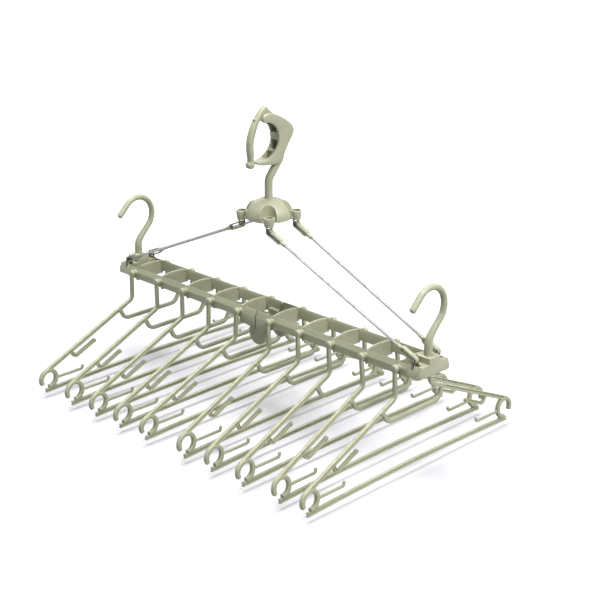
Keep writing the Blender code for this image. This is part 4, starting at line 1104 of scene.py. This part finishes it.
# %% The parts of a stay
STAY_WIRE, STAY_WIRE_EDGE = 0.0018, 0.0003
LINK_THICKNESS, LINK_EDGE, LINK_RIM, LINK_SEAT = 0.0060, 0.0006, 0.0022, 0.0005
SLOT_HEIGHT, SLOT_LENGTH = 0.0046, 0.0250
TAIL_LENGTH, TAIL_RADIUS, TAIL_TAPER = 0.0080, 0.0028, 0.94


def link_solid(start, direction):
    """A slotted eye along local X with its tail, and where the wire's end lies in it."""
    radius = SLOT_HEIGHT / 2
    last = start + direction * (SLOT_LENGTH - SLOT_HEIGHT)
    left, right = min(start, last), max(start, last)
    outer, slot = [arc((right, 0.0), size, -90.0, 90.0, 14) + arc((left, 0.0), size, 90.0, 270.0, 14)
                   for size in (radius + LINK_RIM, radius)]
    eye = slab("eye", "y", 0, outer, LINK_THICKNESS, LINK_EDGE, [slot])
    base = last + direction * (radius + LINK_RIM / 3)
    tip = base + direction * TAIL_LENGTH
    floor = base + direction * LINK_RIM
    tail = drum("tail", "x", base, tip, (0, 0), TAIL_RADIUS, EDGE, 24, TAIL_RADIUS * TAIL_TAPER)
    bore = drum("bore", "x", floor, tip + direction * PAST, (0, 0), STAY_WIRE + FIT_GAP, SHARP, 16)
    return pierced(fused(eye, tail), bore), floor


seat = SLOT_HEIGHT / 2 - STAPLE_WIRE - LINK_SEAT
span = Vector((BEAM_BAR_X - LUG_X, BEAM_BAR_Y - LUG_Y, BEAM_BAR_Z - HUB_BAR_Z)).length
upper, upper_floor = link_solid(seat, 1)
lower, lower_floor = link_solid(span - seat, -1)
wire_ends = (upper_floor + FIT_GAP, lower_floor - FIT_GAP)
wire = drum("wire", "x", *wire_ends, (0, 0), STAY_WIRE, STAY_WIRE_EDGE, 20)
STAY_PARTS = (("stay_wire", wire, STEEL), ("stay_hub_link", upper, SAGE), ("stay_beam_link", lower, SAGE))
print("a stay spans", round(span, 4), "m between its staples")

# %% The four stays
for corner, (side_x, side_y) in CORNERS.items():
    hub_end = Vector((side_x * LUG_X, side_y * LUG_Y, BEAM_Z + HUB_BAR_Z))
    beam_end = Vector((side_x * BEAM_BAR_X, side_y * BEAM_BAR_Y, BEAM_Z + BEAM_BAR_Z))
    along = (beam_end - hub_end).normalized()
    across = Vector((0, 0, 1)).cross(along).normalized()
    turn = Matrix((along, across, along.cross(across))).transposed().to_4x4()
    for kind, source, material in STAY_PARTS:
        item = new_object(kind, source.data.copy())
        item.data.transform(Matrix.Translation(hub_end) @ turn)
        show(item, f"{kind}_{corner}_piece", material, f"{kind}_{corner}")
for kind, source, material in STAY_PARTS:
    bpy.data.objects.remove(source, do_unlink=True)
print("stays:", len(CORNERS), "of", len(STAY_PARTS), "pieces")

# %% [markdown]
# ## The side hooks
#
# A smooth round hook stands on each end of the beam and turns there. It is thick at its foot and
# slimmer round its bow. A sweep along a smoothed path, with a size for each point, gives that taper.

# %% Side hooks and their caps
HOOK_FOOT_RADIUS, HOOK_RADIUS, HOOK_END = 0.0055, 0.0043, 0.0026
HOOK_NECK_Z, HOOK_TIP = 0.0360, (-0.0320, 0.0790)
HOOK_BOW, HOOK_BOW_RADIUS, HOOK_BOW_DEG = (0.0010, 0.0740), 0.0270, (-38.0, 138.0)
CAP_EDGE = 0.0005
block_foot = BEAM_Z + BLOCK_BOTTOM


def make_side_hook(place):
    """A round hook with a spigot below."""
    foot, waist = SOCKET_TOP + FIT_GAP, HOOK_NECK_Z * 0.6
    corners = [(0.0, foot), (0.0, waist), (HOOK_FOOT_RADIUS * 0.45, HOOK_NECK_Z)]
    corners += arc(HOOK_BOW, HOOK_BOW_RADIUS, *HOOK_BOW_DEG, 13) + [HOOK_TIP]
    path = smoothed(corners, 5)
    slim = HOOK_RADIUS / HOOK_FOOT_RADIUS
    sizes = []
    for index, (_, z) in enumerate(path):
        share = min(1.0, max(0.0, (z - waist) / (HOOK_NECK_Z * 0.75)))
        sizes.append(slim if index >= len(path) // 3 else 1.0 + (slim - 1.0) * share)
    width = HOOK_FOOT_RADIUS * 2
    hook = sweep("hook", upright(raised(path), place[0]), oval(width, width, 20, ROUND), X_AXIS,
                 (0.0, HOOK_END), sizes)
    top = BEAM_Z + foot + SPIGOT_RADIUS
    spigot = drum("spigot", "z", block_foot + CAP_HEIGHT / 2, top, place, SPIGOT_RADIUS)
    return fused(hook, spigot)


def make_cap(place):
    """The ring pressed on the spigot from below."""
    top, middle = block_foot + CAP_HEIGHT, block_foot + CAP_HEIGHT / 2
    cap = drum("cap", "z", block_foot, top, place, CAP_RADIUS, CAP_EDGE, 32)
    hole = drum("bore", "z", middle - FIT_GAP, BEAM_Z, place, SPIGOT_RADIUS + FIT_GAP)
    return pierced(cap, hole)


for side, name in ((-1, "left"), (1, "right")):
    place = (side * HOOK_X, 0)
    hook = show(make_side_hook(place), f"side_hook_{name}_round", SAGE, f"side_hook_{name}")
    show(make_cap(place), f"side_hook_{name}_ring", SAGE_DEEP, f"side_hook_cap_{name}")
    print(hook.name, len(hook.data.polygons), "faces")

# %% [markdown]
# ## The clamp
#
# The clamp's fixed jaw and its stem are one moulding: two side plates with a channel between them,
# ribs across the channel, a hollow in the toe below, and a round stem that bends under the jaw into
# the hub. A slim lever turns on a pin between the plates, and a small spring closes it on the pole.
# The lever swells towards its middle and narrows to a neck above its round knob. The knob has a
# button on each side, and a nub on the lever's back gives the thumb a hold.

# %% Jaw and stem
JAW_SPAN, JAW_RISE = 0.050, 0.030
JAW_SHARES = (
    (-0.30, 0.78), (-0.27, 1.02), (-0.10, 1.10), (0.16, 0.99), (0.42, 0.77), (0.67, 0.48), (0.78, 0.22),
    (0.76, -0.02), (0.60, -0.40), (0.47, -0.72), (0.36, -1.06), (0.20, -1.20), (-0.20, -1.17),
    (-0.44, -1.10), (-0.51, -1.02), (-0.45, -0.95), (-0.22, -0.94), (0.03, -0.73), (0.17, -0.50),
    (0.24, -0.20), (0.22, 0.14), (0.14, 0.45), (-0.04, 0.66), (-0.20, 0.72),
)
JAW_THICKNESS, JAW_WALL, JAW_COVER, JAW_EDGE = 0.0180, 0.0034, 0.0012, 0.0008
CHANNEL_START, CHANNEL_END, CHANNEL_CORNER = 0.0010, 0.0210, 0.002
CHANNEL_SHARES = ((-0.60, -0.18), (0.16, 0.62))
TOE_POCKET = ((0.0005, -0.0190), (0.0065, -0.0200), (0.0060, -0.0290), (-0.0075, -0.0310),
              (-0.0085, -0.0255))
STEM_BOTTOM, STEM_BEND_Z, STEM_TOP_Y, STEM_TOP_Z, STEM_TIP = -0.0995, -0.0570, 0.0210, -0.0320, 0.0008
HINGE = (-0.0020, 0.0250)
HINGE_RADIUS, ARM_ROOM_RADIUS = 0.0022, 0.0158
ARM_THICKNESS = 0.0080


def jaw_points(shares):
    """Shares of the jaw's span and rise as (y, z)."""
    return [(y * JAW_SPAN, z * JAW_RISE) for y, z in shares]


def jaw_cutters():
    """Cutters for the channel, the toe's hollow, the lever's room and the pin's hole."""
    wall, half, reach = JAW_THICKNESS / 2 - JAW_WALL, ARM_THICKNESS / 2 + FIT_GAP * 2, ARM_ROOM_RADIUS
    cutters = []
    for low, high in CHANNEL_SHARES:
        outline = box_outline((CHANNEL_START, JAW_RISE * low), (CHANNEL_END, JAW_RISE * high),
                              CHANNEL_CORNER, 4)
        cutters.append(slab("pocket", "x", 0, outline, wall * 2))
    cutters.append(slab("pocket", "x", 0, TOE_POCKET, wall * 2))
    cutters.append(drum("slot", "x", -half, half, HINGE, reach, SHARP, 48))
    over = box_outline((HINGE[0] - reach * 1.5, HINGE[1] - reach * 0.7), (HINGE[0], HINGE[1] + reach))
    cutters.append(slab("over", "x", 0, over, half * 2, SHARP))
    cutters.append(drum("hole", "x", -JAW_THICKNESS, JAW_THICKNESS / 2 - JAW_COVER, HINGE,
                        HINGE_RADIUS + FIT_GAP))
    return cutters


def make_jaw():
    """The fixed jaw and the stem."""
    outline = smoothed(jaw_points(JAW_SHARES), 4, closed=True)
    jaw = slab("jaw", "x", 0, outline, JAW_THICKNESS, JAW_EDGE)
    stem = rounded([(0.0, STEM_BOTTOM), (0.0, STEM_BEND_Z), (STEM_TOP_Y, STEM_TOP_Z),
                    (STEM_TOP_Y * 1.15, STEM_TOP_Z / 3)], STEM_RADIUS * 2.5, 9)
    width = STEM_RADIUS * 2
    bar = sweep("stem", upright(stem), oval(width, width, 24, ROUND), X_AXIS, (STEM_TIP, 0.0))
    return pierced(fused(jaw, bar), *jaw_cutters())


jaw = show(make_jaw(), "clamp_fixed_jaw", SAGE, "clamp_jaw")
print("jaw:", len(jaw.data.polygons), "faces")

# %% Lever
ARM_SHARES = ((-0.10, 1.34), (-0.26, 1.14), (-0.42, 0.84), (-0.56, 0.42), (-0.645, 0.0),
              (-0.66, -0.34), (-0.645, -0.68), (-0.66, -1.06))
ARM_RADIUS, ARM_SQUARENESS, ARM_TIP, ARM_HEEL = 0.0036, 3.0, 0.001, 0.0148
SWELL, SWELL_START, SWELL_STEPS = 0.20, 10, 8
NECK, NECK_START, NECK_STEPS = 0.34, 8, 5
WEB_EDGE, ARM_BOSS_RADIUS = 0.0006, 0.0070
KNOB_RADIUS, KNOB_EDGE, BUTTON_RADIUS, BUTTON_EDGE = 0.0052, 0.0014, 0.00253, 0.0007
NUB_RADIUS, SPRING_ROOM, ROOM_RADIUS = 0.0019, 0.0044, 0.0066


def lever_bar(points):
    """The lever's bar, which swells towards its middle and narrows above the knob."""
    path = smoothed(points, 6)
    sizes = []
    for k in range(len(path)):
        swell = SWELL * min(1.0, max(0.0, (k - SWELL_START) / SWELL_STEPS))
        neck = NECK * min(1.0, max(0.0, (k - len(path) + NECK_START) / NECK_STEPS))
        sizes.append(1.0 + swell - neck)
    section = oval(ARM_RADIUS * 2, ARM_THICKNESS, 20, ARM_SQUARENESS)
    return sweep("lever", upright(path), section, X_AXIS, (ARM_TIP, 0.0), sizes)


def make_lever():
    """The sprung lever."""
    points = jaw_points(ARM_SHARES)
    half, heel = ARM_THICKNESS / 2, ARM_HEEL
    hinge_y, hinge_z = HINGE
    outline = points[:3] + [(hinge_y, hinge_z - ARM_BOSS_RADIUS / 2),
                            (hinge_y + heel * 0.97, hinge_z + heel * 0.14)]
    web = slab("web", "x", 0, outline, ARM_THICKNESS * 0.96, WEB_EDGE)
    nub_place = (points[2][0] - ARM_RADIUS * 0.9, points[2][1] + ARM_RADIUS * 0.4)
    rounds = (
        ("boss", half, HINGE, ARM_BOSS_RADIUS, EDGE, 32),
        ("knob", half * 1.1, points[-1], KNOB_RADIUS, KNOB_EDGE, 28),
        ("button", half * 1.35, points[-1], BUTTON_RADIUS, BUTTON_EDGE, 24),
        ("nub", half * 0.6, nub_place, NUB_RADIUS, BUTTON_EDGE, 20),
    )
    drums = [drum(name, "x", -reach, reach, *values) for name, reach, *values in rounds]
    hole = drum("hole", "x", -JAW_THICKNESS, JAW_THICKNESS, HINGE, HINGE_RADIUS + FIT_GAP)
    room = drum("room", "x", half - SPRING_ROOM, half + PAST, HINGE, ROOM_RADIUS, SHARP, 32)
    return pierced(fused(lever_bar(points), web, *drums), hole, room)


lever = show(make_lever(), "clamp_lever", SAGE, "clamp_arm")
print("lever:", len(lever.data.polygons), "faces")

# %% Pin, spring and ring
HINGE_HEAD_RADIUS, HINGE_HEAD_EDGE = 0.0044, 0.0003
SPRING_WIRE, SPRING_RADIUS, SPRING_TURNS, SPRING_STEPS, SPRING_START_DEG = 0.0004, 0.0037, 2, 24, 200.0
RING_OUTER, RING_HEIGHT = 0.0092, 0.0050


def make_pin():
    """The lever's pin, with its head on the -X side."""
    half = JAW_THICKNESS / 2
    start = -half - FIT_GAP
    pin = drum("pin", "x", start - FIT_GAP, half - JAW_COVER - FIT_GAP, HINGE, HINGE_RADIUS)
    head = drum("head", "x", start - HINGE_RADIUS / 2, start, HINGE, HINGE_HEAD_RADIUS, HINGE_HEAD_EDGE)
    return fused(pin, head)


def make_spring():
    """A torsion spring of two turns beside the lever."""
    first = ARM_THICKNESS / 2 - SPRING_ROOM + SPRING_WIRE + FIT_GAP * 2
    last = ARM_THICKNESS / 2 - SPRING_WIRE
    count = SPRING_TURNS * SPRING_STEPS
    rings = []
    for step in range(count + 1):
        angle = math.radians(SPRING_START_DEG) + 2 * math.pi * step / SPRING_STEPS
        out = Vector((0, math.cos(angle), math.sin(angle)))
        centre = Vector((first + (last - first) * step / count, *HINGE)) + out * SPRING_RADIUS
        rings.append([centre + (out * c + X_AXIS * s) * SPRING_WIRE for c, s in circle(10)])
    return skin_rings("spring", rings)


def make_ring():
    """The ring that keeps the stem in the hub."""
    bore, outer, low = STEM_RADIUS + FIT_GAP, RING_OUTER, -RING_HEIGHT
    profile = [(bore, 0.0), (outer - EDGE, 0.0), (outer, -EDGE), (outer, low + EDGE),
               (outer - EDGE, low), (bore, low)]
    return lathe("ring", profile, rim_z + HUB_HEIGHT - NECK_DEPTH - FIT_GAP, 40)


show(make_pin(), "clamp_lever_pin", STEEL_DARK, "clamp_hinge_pin")
show(make_spring(), "clamp_lever_spring", STEEL_DARK, "clamp_spring")
show(make_ring(), "stem_ring", SAGE_DEEP, "stem_retainer")
print("pin, spring and ring done")
